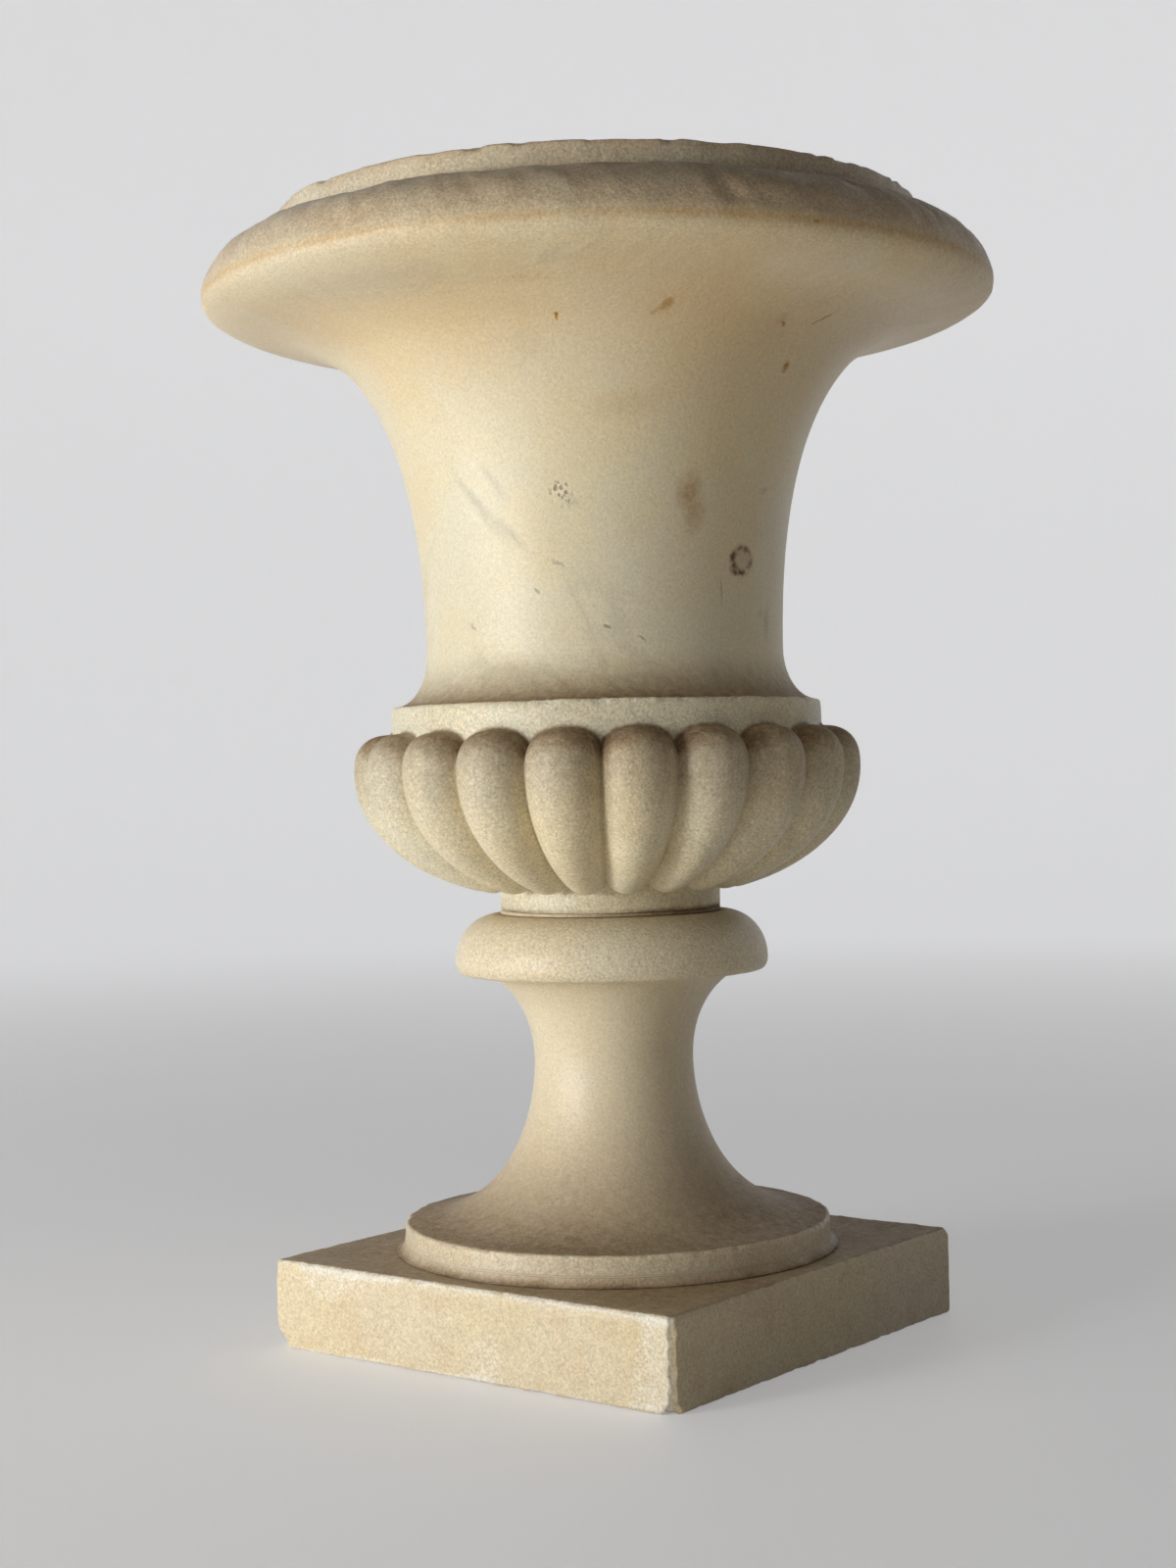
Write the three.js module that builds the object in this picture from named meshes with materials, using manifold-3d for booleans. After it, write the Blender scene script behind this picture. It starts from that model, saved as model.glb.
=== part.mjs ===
// A marble jardiniere of campana form: a bell-shaped bowl with a gadrooned underside stands on a
// waisted socle and a square plinth. The three stones are bedded in mortar and clamped by an iron
// rod on their axis. Millimetres, +Z up, origin on the floor at the middle of the plinth.
import * as THREE from "three";
import { ParametricGeometry } from "three/addons/geometries/ParametricGeometry.js";
import { mergeVertices } from "three/addons/utils/BufferGeometryUtils.js";
import Module from "manifold-3d";

const wasm = await Module();
wasm.setup();

// Plinth
const PLINTH_SIDE = 170;
const PLINTH_THICKNESS = 30.7;
const PLINTH_CORNER_ROUND = 1.5;
const PLINTH_EDGE_ROUND = 1.4;
const COUNTERBORE_MARGIN = 3;
const COUNTERBORE_SPARE = 1.8;

// Mortar joints
const JOINT_HEIGHT = 1.2;
const JOINT_SET_BACK = 1.5;
const COVE_SIZE = 2.6;
const COVE_BLUNT = 0.5;

// Socle
const FOOT_MARGIN = 10.3;
const FOOT_EDGE_HEIGHT = 9.1;
const FOOT_EDGE_ROUND = 1.1;
const FOOT_FLARE_REACH = 37.8;
const FOOT_FLARE_SLOPE = 0.05;
const WAIST_RADIUS = 28;
const WAIST_RISE = 55;
const WAIST_DROP_PULL = 17.1;
const STEM_TOP_RADIUS = 44.4;
const STEM_TOP_RISE = 30.5;
const STEM_TOP_PULL = 23.8;
const TORUS_RADIUS = 55;
const TORUS_HEIGHT = 21;
const TORUS_BELLY_HEIGHT = 4.5;
const TORUS_UNDER_ROUND = 2.6;
const SEAT_MARGIN = 1.3;

// Gadroons: fat lobes side by side, domed at the top and drawn in to round noses at the neck
const LOBE_COUNT = 20;
const LOBE_FULLNESS = 1.112;
const LOBE_RADIUS = 88.9;
const LOBE_REACH = 65.7;
const LOBE_DROP = 44.8;
const LOBE_DOME_HEIGHT = 13.6;
const LOBE_DOME_SQUARENESS = 2.5;
const LOBE_SET_OUT = 7.9;

// Bowl
const NECK_RADIUS = 38.7;
const NECK_HEIGHT = 6.9;
const COLLAR_RADIUS = 75.4;
const COLLAR_RISE = 23;
const COLLAR_EDGE_ROUND = 1.4;
const CAVETTO_HEIGHT = 18;
const BELL_RADIUS = 62.6;
const BELL_HEIGHT = 112.7;
const BELL_PULL = 92.3;
const LIP_UNDER_REACH = 23.2;
const LIP_RADIUS = 137.9;
const LIP_NOSE_HEIGHT = 10.4;
const LIP_NOSE_DEPTH = 20;
const OVOLO_HEIGHT = 20.6;
const OVOLO_DEPTH = 25.1;
const QUIRK_WIDTH = 0.8;
const QUIRK_DEPTH = 0.8;
const BAND_HEIGHT = 8.3;
const BAND_WIDTH = 13;
const BAND_EDGE_ROUND = 1.3;
const WALL = 16.6;
const FLOOR_THICKNESS = 38;
const FLOOR_ROUND = 20;
const MOUTH_PULL = 92;
const MOUTH_REACH = 40;
const MOUTH_SLOPE = 0.78;

// Tie rod and what it clamps
const ROD_RADIUS = 6;
const ROD_POINT = 1;
const ROD_STANDOUT = 3;
const ROD_HOLE_CLEARANCE = 1;
const LEAD_MARGIN = 2;
const LEAD_THICKNESS = 2;
const WASHER_RADIUS = 14;
const WASHER_THICKNESS = 3.5;
const NUT_SIDE = 19;
const NUT_THICKNESS = 8;
const NUT_EDGE = 0.8;

// Clearances between pieces
const SEAT_GAP = 0.05;
const FIT_GAP = 0.3;

// Facets
const BOWL_TURNS = 40;
const SOCLE_TURNS = 40;
const SMALL_TURNS = 20;
const DOME_STEPS = 3;
const BELLY_STEPS = 6;
const NOSE_STEPS = 2;
const CORE_STEPS = 3;
const LOBE_SIDES = 12;

const QUARTER = Math.PI / 2;

// Sizes that follow from what each piece fits
const footRadius = PLINTH_SIDE / 2 - FOOT_MARGIN;
const seatRadius = NECK_RADIUS + SEAT_MARGIN;
const holeRadius = ROD_RADIUS + ROD_HOLE_CLEARANCE;
const threadedBore = ROD_RADIUS + FIT_GAP;
const leadRadius = WASHER_RADIUS + LEAD_MARGIN;
const washerSeat = 2 * SEAT_GAP + LEAD_THICKNESS;
const nutSeat = washerSeat + WASHER_THICKNESS + SEAT_GAP;
const rodReach = nutSeat + NUT_THICKNESS + ROD_STANDOUT;
const counterboreRadius = leadRadius + COUNTERBORE_MARGIN;
const counterboreDepth = rodReach + COUNTERBORE_SPARE;

// Levels of the stones, from the floor up
const socleFoot = PLINTH_THICKNESS + JOINT_HEIGHT;
const socleHeight = FOOT_EDGE_HEIGHT + WAIST_RISE + STEM_TOP_RISE + TORUS_HEIGHT;
const bowlFoot = socleFoot + socleHeight + JOINT_HEIGHT;

const marble = new THREE.MeshStandardMaterial({ color: 0xd9cdb2, roughness: 0.6, metalness: 0 });
const mortar = new THREE.MeshStandardMaterial({ color: 0xc9b49a, roughness: 0.95, metalness: 0 });
const iron = new THREE.MeshStandardMaterial({ color: 0x4b3f38, roughness: 0.75, metalness: 0.8 });
const lead = new THREE.MeshStandardMaterial({ color: 0x7d8084, roughness: 0.6, metalness: 0.9 });

// A point of a turned profile: distance from the axis, height.
const at = (radius, height) => new THREE.Vector2(radius, height);

// A stretch of an ellipse in a turned profile, from one angle to another.
function arc(centre, across, up, from, to, steps) {
  return new THREE.EllipseCurve(centre.x, centre.y, across, up, from, to, to < from).getPoints(steps);
}

// A curve that leaves its start upright, pulled by a signed length, and comes in to its end at a slope.
function flare(start, pull, end, reach, slope, steps) {
  const leave = at(start.x, start.y + pull);
  const arrive = at(end.x - reach * Math.cos(slope), end.y - reach * Math.sin(slope));
  return new THREE.CubicBezierCurve(start, leave, arrive, end).getPoints(steps);
}

// Keeps only positions and joins the vertices that coincide, which closes seams and poles.
function weld(geometry) {
  geometry.deleteAttribute("normal");
  geometry.deleteAttribute("uv");
  return mergeVertices(geometry, 1e-4);
}

// Turns a profile about the Z axis. The profile runs anticlockwise, with the axis on its left.
function turned(profile, turns) {
  const points = profile.flat();
  const apart = points.filter((p, i) => i === 0 || p.distanceTo(points[i - 1]) > 1e-4);
  return weld(new THREE.LatheGeometry(apart, turns).rotateX(QUARTER));
}

// A turned piece with a straight hole along its axis: the profile closes on itself.
function turnedRing(profile, turns) {
  const points = profile.flat();
  return turned([points, points[0].clone()], turns);
}

// A flat ring whose bore and rim are plain.
function plainRing(inner, outer, height, turns) {
  return turnedRing([at(inner, 0), at(outer, 0), at(outer, height), at(inner, height)], turns);
}

function solid(geometry) {
  const vertProperties = geometry.attributes.position.array;
  const triVerts = new Uint32Array(geometry.index.array);
  return new wasm.Manifold(new wasm.Mesh({ numProp: 3, vertProperties, triVerts }));
}

function geometryOf(body) {
  const mesh = body.getMesh();
  const geometry = new THREE.BufferGeometry();
  geometry.setAttribute("position", new THREE.BufferAttribute(mesh.vertProperties, 3));
  geometry.setIndex(new THREE.BufferAttribute(mesh.triVerts, 1));
  return geometry;
}

// The slab under the foot: square, with rounded corners and arrises, drilled and counterbored.
function plinthGeometry() {
  const half = PLINTH_SIDE / 2 - PLINTH_EDGE_ROUND;
  const inner = half - PLINTH_CORNER_ROUND;
  const outline = new THREE.Shape();
  outline.absarc(inner, inner, PLINTH_CORNER_ROUND, 0, QUARTER);
  outline.absarc(-inner, inner, PLINTH_CORNER_ROUND, QUARTER, 2 * QUARTER);
  outline.absarc(-inner, -inner, PLINTH_CORNER_ROUND, 2 * QUARTER, 3 * QUARTER);
  outline.absarc(inner, -inner, PLINTH_CORNER_ROUND, 3 * QUARTER, 4 * QUARTER);
  const slab = new THREE.ExtrudeGeometry(outline, {
    depth: PLINTH_THICKNESS - 2 * PLINTH_EDGE_ROUND,
    bevelThickness: PLINTH_EDGE_ROUND,
    bevelSize: PLINTH_EDGE_ROUND,
    bevelSegments: 2,
    curveSegments: 3,
  }).translate(0, 0, PLINTH_EDGE_ROUND);
  const below = -PLINTH_THICKNESS;
  const hole = [
    at(0, below),
    at(counterboreRadius, below),
    at(counterboreRadius, counterboreDepth),
    at(holeRadius, counterboreDepth),
    at(holeRadius, 2 * PLINTH_THICKNESS),
    at(0, 2 * PLINTH_THICKNESS),
  ];
  return geometryOf(solid(weld(slab)).subtract(solid(turned(hole, SMALL_TURNS))));
}

// The bed under the foot, with the mortar pointed to a hollow cove outside the foot's edge.
function plinthBedGeometry() {
  const thickness = JOINT_HEIGHT - 2 * SEAT_GAP;
  const inner = footRadius + FIT_GAP;
  const crown = at(inner + COVE_SIZE, thickness + COVE_SIZE);
  const profile = [
    at(holeRadius, 0),
    at(crown.x, 0),
    arc(crown, COVE_SIZE - COVE_BLUNT, COVE_SIZE, 3 * QUARTER, 2 * QUARTER, 3),
    at(inner, crown.y),
    at(inner, thickness),
    at(holeRadius, thickness),
  ];
  return turnedRing(profile, SOCLE_TURNS);
}

// The socle: foot edge, long flare to the waist, short flare to the half-round collar, flat seat.
function socleGeometry() {
  const footTip = at(footRadius - FOOT_EDGE_ROUND, FOOT_EDGE_HEIGHT);
  const waist = at(WAIST_RADIUS, FOOT_EDGE_HEIGHT + WAIST_RISE);
  const stemTop = at(STEM_TOP_RADIUS, waist.y + STEM_TOP_RISE);
  const underTip = at(TORUS_RADIUS - TORUS_UNDER_ROUND, stemTop.y);
  const belly = at(seatRadius, stemTop.y + TORUS_BELLY_HEIGHT);
  const footEdge = at(footTip.x, FOOT_EDGE_HEIGHT - FOOT_EDGE_ROUND);
  const underEdge = at(underTip.x, belly.y);
  const profile = [
    at(holeRadius, 0),
    at(footRadius, 0),
    arc(footEdge, FOOT_EDGE_ROUND, FOOT_EDGE_ROUND, 0, QUARTER, 2),
    flare(waist, -WAIST_DROP_PULL, footTip, FOOT_FLARE_REACH, -FOOT_FLARE_SLOPE, 9).reverse(),
    flare(waist, STEM_TOP_PULL, stemTop, 0, 0, 6),
    arc(underEdge, TORUS_UNDER_ROUND, TORUS_BELLY_HEIGHT, -QUARTER, 0, 2),
    arc(belly, TORUS_RADIUS - seatRadius, TORUS_HEIGHT - TORUS_BELLY_HEIGHT, 0, QUARTER, 6),
    at(holeRadius, socleHeight),
  ];
  return turnedRing(profile, SOCLE_TURNS);
}

// Where the lobes' crest line turns in to the neck, as an angle below their widest level.
const lobeEnd = Math.acos((NECK_RADIUS + LOBE_SET_OUT - LOBE_RADIUS + LOBE_REACH) / LOBE_REACH);
const lobeLevel = NECK_HEIGHT + LOBE_DROP * Math.sin(lobeEnd);

// One cross-section of a lobe's belly: its circle just overlaps its neighbours' all the way down.
// The crest is an ellipse, and the circle's centre lies one circle radius inside it.
function bellySection(angle) {
  const crest = at(
    LOBE_RADIUS - LOBE_REACH * (1 - Math.cos(angle)),
    lobeLevel - LOBE_DROP * Math.sin(angle),
  );
  const out = at(Math.cos(angle) / LOBE_REACH, -Math.sin(angle) / LOBE_DROP).normalize();
  const share = LOBE_FULLNESS * Math.sin(Math.PI / LOBE_COUNT);
  const radius = (share * crest.x) / (1 + share * out.x);
  return { centre: crest.clone().addScaledVector(out, -radius), out, radius };
}

// Every cross-section of a lobe from the top of its dome, down its belly, to the tip of its nose.
function lobeSections() {
  const top = bellySection(0);
  const end = bellySection(lobeEnd);
  const onward = at(end.out.y, -end.out.x);
  const power = 2 / LOBE_DOME_SQUARENESS;
  const sections = [];
  for (let i = 0; i < DOME_STEPS; i++) {
    const angle = QUARTER * (1 - i / DOME_STEPS);
    const centre = at(top.centre.x, top.centre.y + LOBE_DOME_HEIGHT * Math.sin(angle) ** power);
    const radius = i === 0 ? 0 : top.radius * Math.cos(angle) ** power;
    sections.push({ centre, out: top.out, radius });
  }
  for (let i = 0; i < BELLY_STEPS; i++) {
    sections.push(bellySection((lobeEnd * i) / BELLY_STEPS));
  }
  for (let i = 0; i <= NOSE_STEPS; i++) {
    const angle = (QUARTER * i) / NOSE_STEPS;
    const centre = end.centre.clone().addScaledVector(onward, end.radius * Math.sin(angle));
    const radius = i === NOSE_STEPS ? 0 : end.radius * Math.cos(angle);
    sections.push({ centre, out: end.out, radius });
  }
  return sections;
}

// One lobe in the XZ plane: each section's circle spans its outward direction and the Y direction.
function lobeGeometry() {
  const sections = lobeSections();
  const last = sections.length - 1;
  const place = (u, v, target) => {
    const { centre, out, radius } = sections[Math.round(u * last)];
    const turn = Math.round(v * LOBE_SIDES) % LOBE_SIDES;
    const angle = (turn / LOBE_SIDES) * 2 * Math.PI;
    const outward = radius * Math.cos(angle);
    target.set(centre.x + outward * out.x, radius * Math.sin(angle), centre.y + outward * out.y);
  };
  return weld(new ParametricGeometry(place, last, LOBE_SIDES));
}

// The bowl before the lobes are added: neck, hidden core, collar, bell, lip, band and the hollow.
function bowlCore() {
  const collarTop = at(COLLAR_RADIUS - COLLAR_EDGE_ROUND, lobeLevel + COLLAR_RISE);
  const collarEdge = at(collarTop.x, collarTop.y - COLLAR_EDGE_ROUND);
  const bellFoot = at(BELL_RADIUS, collarTop.y + CAVETTO_HEIGHT);
  const lipUnder = at(LIP_RADIUS - LIP_NOSE_DEPTH, bellFoot.y + BELL_HEIGHT);
  const nose = at(lipUnder.x, lipUnder.y + LIP_NOSE_HEIGHT);
  const ovolo = at(LIP_RADIUS - OVOLO_DEPTH, nose.y);
  const ovoloTop = ovolo.y + OVOLO_HEIGHT;
  const bandRadius = ovolo.x - QUIRK_WIDTH;
  const rimLevel = ovoloTop + BAND_HEIGHT;
  const bandEdge = at(bandRadius - BAND_EDGE_ROUND, rimLevel - BAND_EDGE_ROUND);
  const mouth = at(bandRadius - BAND_WIDTH, rimLevel - BAND_EDGE_ROUND);
  const well = at(BELL_RADIUS - WALL, bellFoot.y);
  const floorEdge = at(well.x - FLOOR_ROUND, FLOOR_THICKNESS + FLOOR_ROUND);
  const core = [];
  for (let i = CORE_STEPS; i >= 0; i--) {
    core.push(bellySection((lobeEnd * i) / CORE_STEPS).centre);
  }
  const profile = [
    at(holeRadius, 0),
    at(NECK_RADIUS, 0),
    at(NECK_RADIUS, core[0].y),
    core,
    at(COLLAR_RADIUS, lobeLevel),
    arc(collarEdge, COLLAR_EDGE_ROUND, COLLAR_EDGE_ROUND, 0, QUARTER, 2),
    arc(at(collarTop.x, bellFoot.y), collarTop.x - BELL_RADIUS, CAVETTO_HEIGHT, -QUARTER, -2 * QUARTER, 4),
    flare(bellFoot, BELL_PULL, lipUnder, LIP_UNDER_REACH, 0, 11),
    arc(nose, LIP_NOSE_DEPTH, LIP_NOSE_HEIGHT, -QUARTER, 0, 4),
    arc(ovolo, OVOLO_DEPTH, OVOLO_HEIGHT, 0, QUARTER, 5),
    at(ovolo.x, ovoloTop - QUIRK_DEPTH),
    at(bandRadius, ovoloTop - QUIRK_DEPTH),
    arc(bandEdge, BAND_EDGE_ROUND, BAND_EDGE_ROUND, 0, QUARTER, 2),
    at(mouth.x + BAND_EDGE_ROUND, rimLevel),
    flare(well, MOUTH_PULL, mouth, MOUTH_REACH, MOUTH_SLOPE, 7).reverse(),
    arc(floorEdge, FLOOR_ROUND, FLOOR_ROUND, 0, -QUARTER, 3),
    at(holeRadius, FLOOR_THICKNESS),
  ];
  return solid(turnedRing(profile, BOWL_TURNS));
}

// The bowl: the lobes are joined to the core all round, with a groove on each axis of the plinth.
function bowlGeometry() {
  const pitch = (2 * Math.PI) / LOBE_COUNT;
  const lobe = lobeGeometry();
  let body = bowlCore();
  for (let i = 0; i < LOBE_COUNT; i++) {
    body = body.add(solid(lobe.clone().rotateZ((i + 0.5) * pitch)));
  }
  return geometryOf(body);
}

// A square nut with eased edges.
function nutGeometry() {
  const half = NUT_SIDE / 2 - NUT_EDGE;
  const outline = new THREE.Shape();
  outline.moveTo(-half, -half);
  outline.lineTo(half, -half);
  outline.lineTo(half, half);
  outline.lineTo(-half, half);
  outline.closePath();
  const block = new THREE.ExtrudeGeometry(outline, {
    depth: NUT_THICKNESS - 2 * NUT_EDGE,
    bevelThickness: NUT_EDGE,
    bevelSize: NUT_EDGE,
    bevelSegments: 1,
  }).translate(0, 0, NUT_EDGE);
  const hole = [
    at(0, -NUT_THICKNESS),
    at(threadedBore, -NUT_THICKNESS),
    at(threadedBore, 2 * NUT_THICKNESS),
    at(0, 2 * NUT_THICKNESS),
  ];
  return geometryOf(solid(weld(block)).subtract(solid(turned(hole, SMALL_TURNS))));
}

function rodGeometry(length) {
  return turned(
    [
      at(0, 0),
      at(ROD_RADIUS - ROD_POINT, 0),
      at(ROD_RADIUS, ROD_POINT),
      at(ROD_RADIUS, length - ROD_POINT),
      at(ROD_RADIUS - ROD_POINT, length),
      at(0, length),
    ],
    SMALL_TURNS,
  );
}

const jardiniere = new THREE.Group();

function place(group, name, geometry, material, height) {
  const mesh = new THREE.Mesh(geometry, material);
  mesh.name = name;
  mesh.position.z = height;
  group.add(mesh);
}

// Lead pad, washer and nut in the order they go on the rod, counted up from the stone they press on.
function clamp(name, height, flipped) {
  const group = new THREE.Group();
  const pad = plainRing(threadedBore, leadRadius, LEAD_THICKNESS, SMALL_TURNS);
  const washer = plainRing(threadedBore, WASHER_RADIUS, WASHER_THICKNESS, SMALL_TURNS);
  place(group, `${name}_lead_pad`, pad, lead, SEAT_GAP);
  place(group, `${name}_washer`, washer, iron, washerSeat);
  place(group, `${name}_nut`, nutGeometry(), iron, nutSeat);
  group.position.z = height;
  group.rotation.x = flipped ? Math.PI : 0;
  jardiniere.add(group);
}

place(jardiniere, "plinth", plinthGeometry(), marble, 0);
place(jardiniere, "plinth_bed", plinthBedGeometry(), mortar, PLINTH_THICKNESS + SEAT_GAP);
place(jardiniere, "socle", socleGeometry(), marble, socleFoot);
const bedRadius = NECK_RADIUS - JOINT_SET_BACK;
const bowlBed = plainRing(holeRadius, bedRadius, JOINT_HEIGHT - 2 * SEAT_GAP, SOCLE_TURNS);
place(jardiniere, "bowl_bed", bowlBed, mortar, bowlFoot - JOINT_HEIGHT + SEAT_GAP);
place(jardiniere, "bowl", bowlGeometry(), marble, bowlFoot);

const floorLevel = bowlFoot + FLOOR_THICKNESS;
clamp("bowl", floorLevel, false);
clamp("plinth", counterboreDepth, true);
const rodFoot = counterboreDepth - rodReach;
const rodTop = floorLevel + rodReach;
place(jardiniere, "tie_rod", rodGeometry(rodTop - rodFoot), iron, rodFoot);

export default jardiniere;
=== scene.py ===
"""Looks of a weathered marble jardiniere, worked out as surfaces round its CAD model. Metres, +Z up."""

import math

import bpy
import numpy as np
from bpy.props import FloatProperty, FloatVectorProperty, IntProperty, PointerProperty
from mathutils import Matrix, Vector


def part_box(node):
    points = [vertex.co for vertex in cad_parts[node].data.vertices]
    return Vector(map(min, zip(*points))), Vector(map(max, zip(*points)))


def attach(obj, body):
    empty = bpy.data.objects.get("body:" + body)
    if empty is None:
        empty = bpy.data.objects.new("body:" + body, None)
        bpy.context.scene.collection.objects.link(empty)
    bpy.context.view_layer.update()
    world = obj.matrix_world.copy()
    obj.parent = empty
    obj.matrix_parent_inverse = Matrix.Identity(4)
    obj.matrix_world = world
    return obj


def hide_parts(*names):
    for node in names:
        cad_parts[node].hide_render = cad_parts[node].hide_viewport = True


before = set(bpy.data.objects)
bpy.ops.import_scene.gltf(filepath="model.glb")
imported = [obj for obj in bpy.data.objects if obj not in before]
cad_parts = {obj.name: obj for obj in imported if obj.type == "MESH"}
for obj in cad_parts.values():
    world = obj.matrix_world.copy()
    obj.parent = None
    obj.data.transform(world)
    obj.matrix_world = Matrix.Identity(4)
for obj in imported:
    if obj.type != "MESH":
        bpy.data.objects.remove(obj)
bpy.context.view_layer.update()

bl_info = {
    "name": "Marble jardiniere",
    "version": (1, 0, 0),
    "blender": (4, 5, 0),
    "location": "3D View > Sidebar > Jardiniere",
    "description": "Worn marble, mortar and iron surfaces for a campana jardiniere, with its studio",
    "category": "Object",
}

MM = 0.001
BOWL_LOW, BOWL_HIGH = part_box("bowl")
SOCLE_LOW, SOCLE_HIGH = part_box("socle")
PLINTH_LOW, PLINTH_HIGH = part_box("plinth")
COVE_LOW, COVE_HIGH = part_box("plinth_bed")
JOINT_LOW, JOINT_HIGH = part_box("bowl_bed")
ROD_LOW, ROD_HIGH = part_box("tie_rod")

# Sizes of the bowl that its shape needs and that nobody would set by hand
NECK_EASE = 0.25 * MM
LOBE_FULLNESS = 1.112
LOBE_SQUARENESS = 2.5
LOBE_SET_OUT = 7.9 * MM
COLLAR_ROUND = 1.4 * MM
BELL_PULL = 92.3 * MM
LIP_REACH = 23.2 * MM
LIP_NOSE_HEIGHT = 10.4 * MM
LIP_NOSE_DEPTH = 20 * MM
QUIRK_WIDTH = 0.8 * MM
QUIRK_DEPTH = 0.8 * MM
BAND_ROUND = 1.3 * MM
MOUTH_EASE = 0.4 * MM
MOUTH_PULL = 92 * MM
MOUTH_REACH = 40 * MM
MOUTH_SLOPE = 0.78
FLOOR_ROUND = 20 * MM

# The same for the socle, the plinth and the mortar round the foot
FOOT_EASE = 0.6 * MM
FOOT_ROUND = 1.1 * MM
FLARE_REACH = 37.8 * MM
FLARE_SLOPE = 0.05
WAIST_DROP_PULL = 17.1 * MM
STEM_PULL = 23.8 * MM
UNDER_ROUND = 2.6 * MM
HOLE_RADIUS = 7 * MM
COUNTERBORE_RADIUS = 19 * MM
COUNTERBORE_DEPTH = 18.45 * MM
COVE_SIZE = 2.6 * MM
COVE_BLUNT = 0.1 * MM
TUCK = 0.4 * MM

# The fittings: bore, edges, thread, and the point at either end of the rod
BORE_RADIUS = 6.3 * MM
PAD_EASE = 0.7 * MM
WASHER_EASE = 0.6 * MM
NUT_CORNER = 1.6 * MM
NUT_EASE = 0.8 * MM
THREAD_LENGTH = 24 * MM
THREAD_DEPTH = 0.55 * MM
THREAD_FADE = (20 * MM, 23 * MM)
POINT_DEPTH = 0.8 * MM
POINT_LENGTH = 1.2 * MM

# What shrinks the rod's end rows to its axis
ROD_CENTRE = (0.002, 0.002, 1)

# Depth of the dents in lead and iron, and of the rough face of the mortar
PAD_DENTS = 0.5 * MM
IRON_DENTS = 0.25 * MM
COVE_ROUGHNESS = 0.12 * MM
SEAM_ROUGHNESS = 0.15 * MM

# The mortar between bowl and socle: how far it stands back, the strip next to its face, and the side away from the
# lamps where it is darkest, which is painted shade
SEAM_SET_BACK = 0.1 * MM
SEAM_STRIP = 2 * MM
SEAM_SHADED_SIDE = math.radians(15)

# Grid sizes: columns of a lobe and round each piece, rows along the rod and the lobes
PER_LOBE = 25
SOCLE_COLUMNS = 640
PLINTH_COLUMNS = 960
MORTAR_COLUMNS = 480
FITTING_COLUMNS = 96
NUT_COLUMNS = 200
ROD_COLUMNS = 48
THREAD_ROWS = 96
SHANK_ROWS = 24
FLOOR_COLUMNS = 128
NECK_ROWS = 5
NOSE_ROWS = 6
BELLY_ROWS = 30
DOME_ROWS = 12
COLLAR_ROWS = 5

# Points of a curve before it is spaced out, how much closer a flat face's rows get towards its outline, and the columns
# over which the mask of the plinth's corners fades
ARC_POINTS = 200
FLARE_POINTS = 400
FACE_SPACING = 1.25
CORNER_FADE = 13

# Rows that a finish or a dent keeps to: the cove's open face, the seam's face, the outer face of an eased ring
COVE_ROWS = (9, 22)
SEAM_ROW = 10
RING_ROW = 12

# Noise that wears each stone: sizes in mm of its broad, middle and fine lumps, and the seed of the first
BOWL_LUMPS = ((26, 9, 3.6), 1)
SOCLE_LUMPS = ((22, 7, 2.6), 21)
PLINTH_LUMPS = ((24, 8, 2.4), 31)

# Chips along the edges: stretch of the profile, row in it, number, range of the balls' sizes and of their depths in mm,
# and seed
BOWL_CHIPS = (
    ("band_edge", 2, 60, (4, 9), (0.3, 1.6), 11),
    ("ovolo", 1, 30, (5, 11), (0.1, 0.6), 12),
    ("collar", 2, 56, (3, 8), (0.4, 1.2), 13),
)
SOCLE_CHIPS = (("tip", 2, 70, (3, 8), (0.3, 1.1), 24), ("under_edge", 2, 14, (3, 6), (0.1, 0.5), 25))
PLINTH_CHIPS = (("top_edge", 2, 90, (3, 8), (0.2, 0.9), 34), ("low_edge", 2, 70, (3, 9), (0.2, 1.0), 35))

# The side of the rim towards the lamps, where the soil is cut so that it shows lighter: painted light
RIM_LIT_SIDE = math.radians(-115)

# How the lobes and their domes are softened where they meet, and the socle's upper edge
LOBE_SOFTENING = 0.16
DOME_SOFTENING = 0.1
TIP_SOFTENING = 0.4
TIP_PASSES = 5

# How the hollow under the lip is eased into one slope: rows to either side, weight and passes of the smoothing
FOLD_ROWS = 7
FOLD_WEIGHT = 0.5
FOLD_PASSES = 40
FOLD_FADE = 2

# Old breaks on the plinth's corners: signs of the corner's x and y, height in mm, upward lean of the blow, size in mm
# of the ball that it leaves the mark of, and how deep it goes in
CORNER_BLOWS = (
    (-1, -1, 0, -0.9, 18, 5.2),
    (-1, -1, 6, -0.2, 14, 1.6),
    (-1, -1, 25, 0.3, 12, 1.0),
    (1, -1, 0, -0.8, 13, 4.0),
    (1, -1, 7, -0.1, 8, 2.0),
    (1, -1, 13, 0.1, 8, 2.1),
    (1, -1, 19, 0.0, 8, 1.9),
    (1, -1, 25, 0.0, 8, 2.0),
    (1, -1, 31, 0.8, 10, 2.6),
    (1, 1, 0, -0.8, 9, 1.2),
    (1, 1, 31, 0.9, 11, 2.6),
    (1, 1, 15, 0.0, 11, 0.5),
    (-1, 1, 30, 0.7, 12, 2.2),
    (-1, 1, 4, -0.4, 10, 1.4),
)

QUARTER = math.pi / 2


def linear(red, green, blue):
    """A colour as the screen shows it, from 0 to 255, as linear light."""
    return tuple((c / 255) ** 2.2 for c in (red, green, blue))


def amount(name, description, default, **limits):
    """A plain number in the panel."""
    return FloatProperty(name=name, description=description, default=default, **limits)


def length(name, description, millimetres):
    """A size in the panel, kept in metres and written here in millimetres."""
    return amount(name, description, millimetres * MM, min=0, precision=5, unit="LENGTH")


def share(name, description, default):
    """A part of a whole in the panel."""
    return amount(name, description, default, min=0, max=1, subtype="FACTOR")


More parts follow.
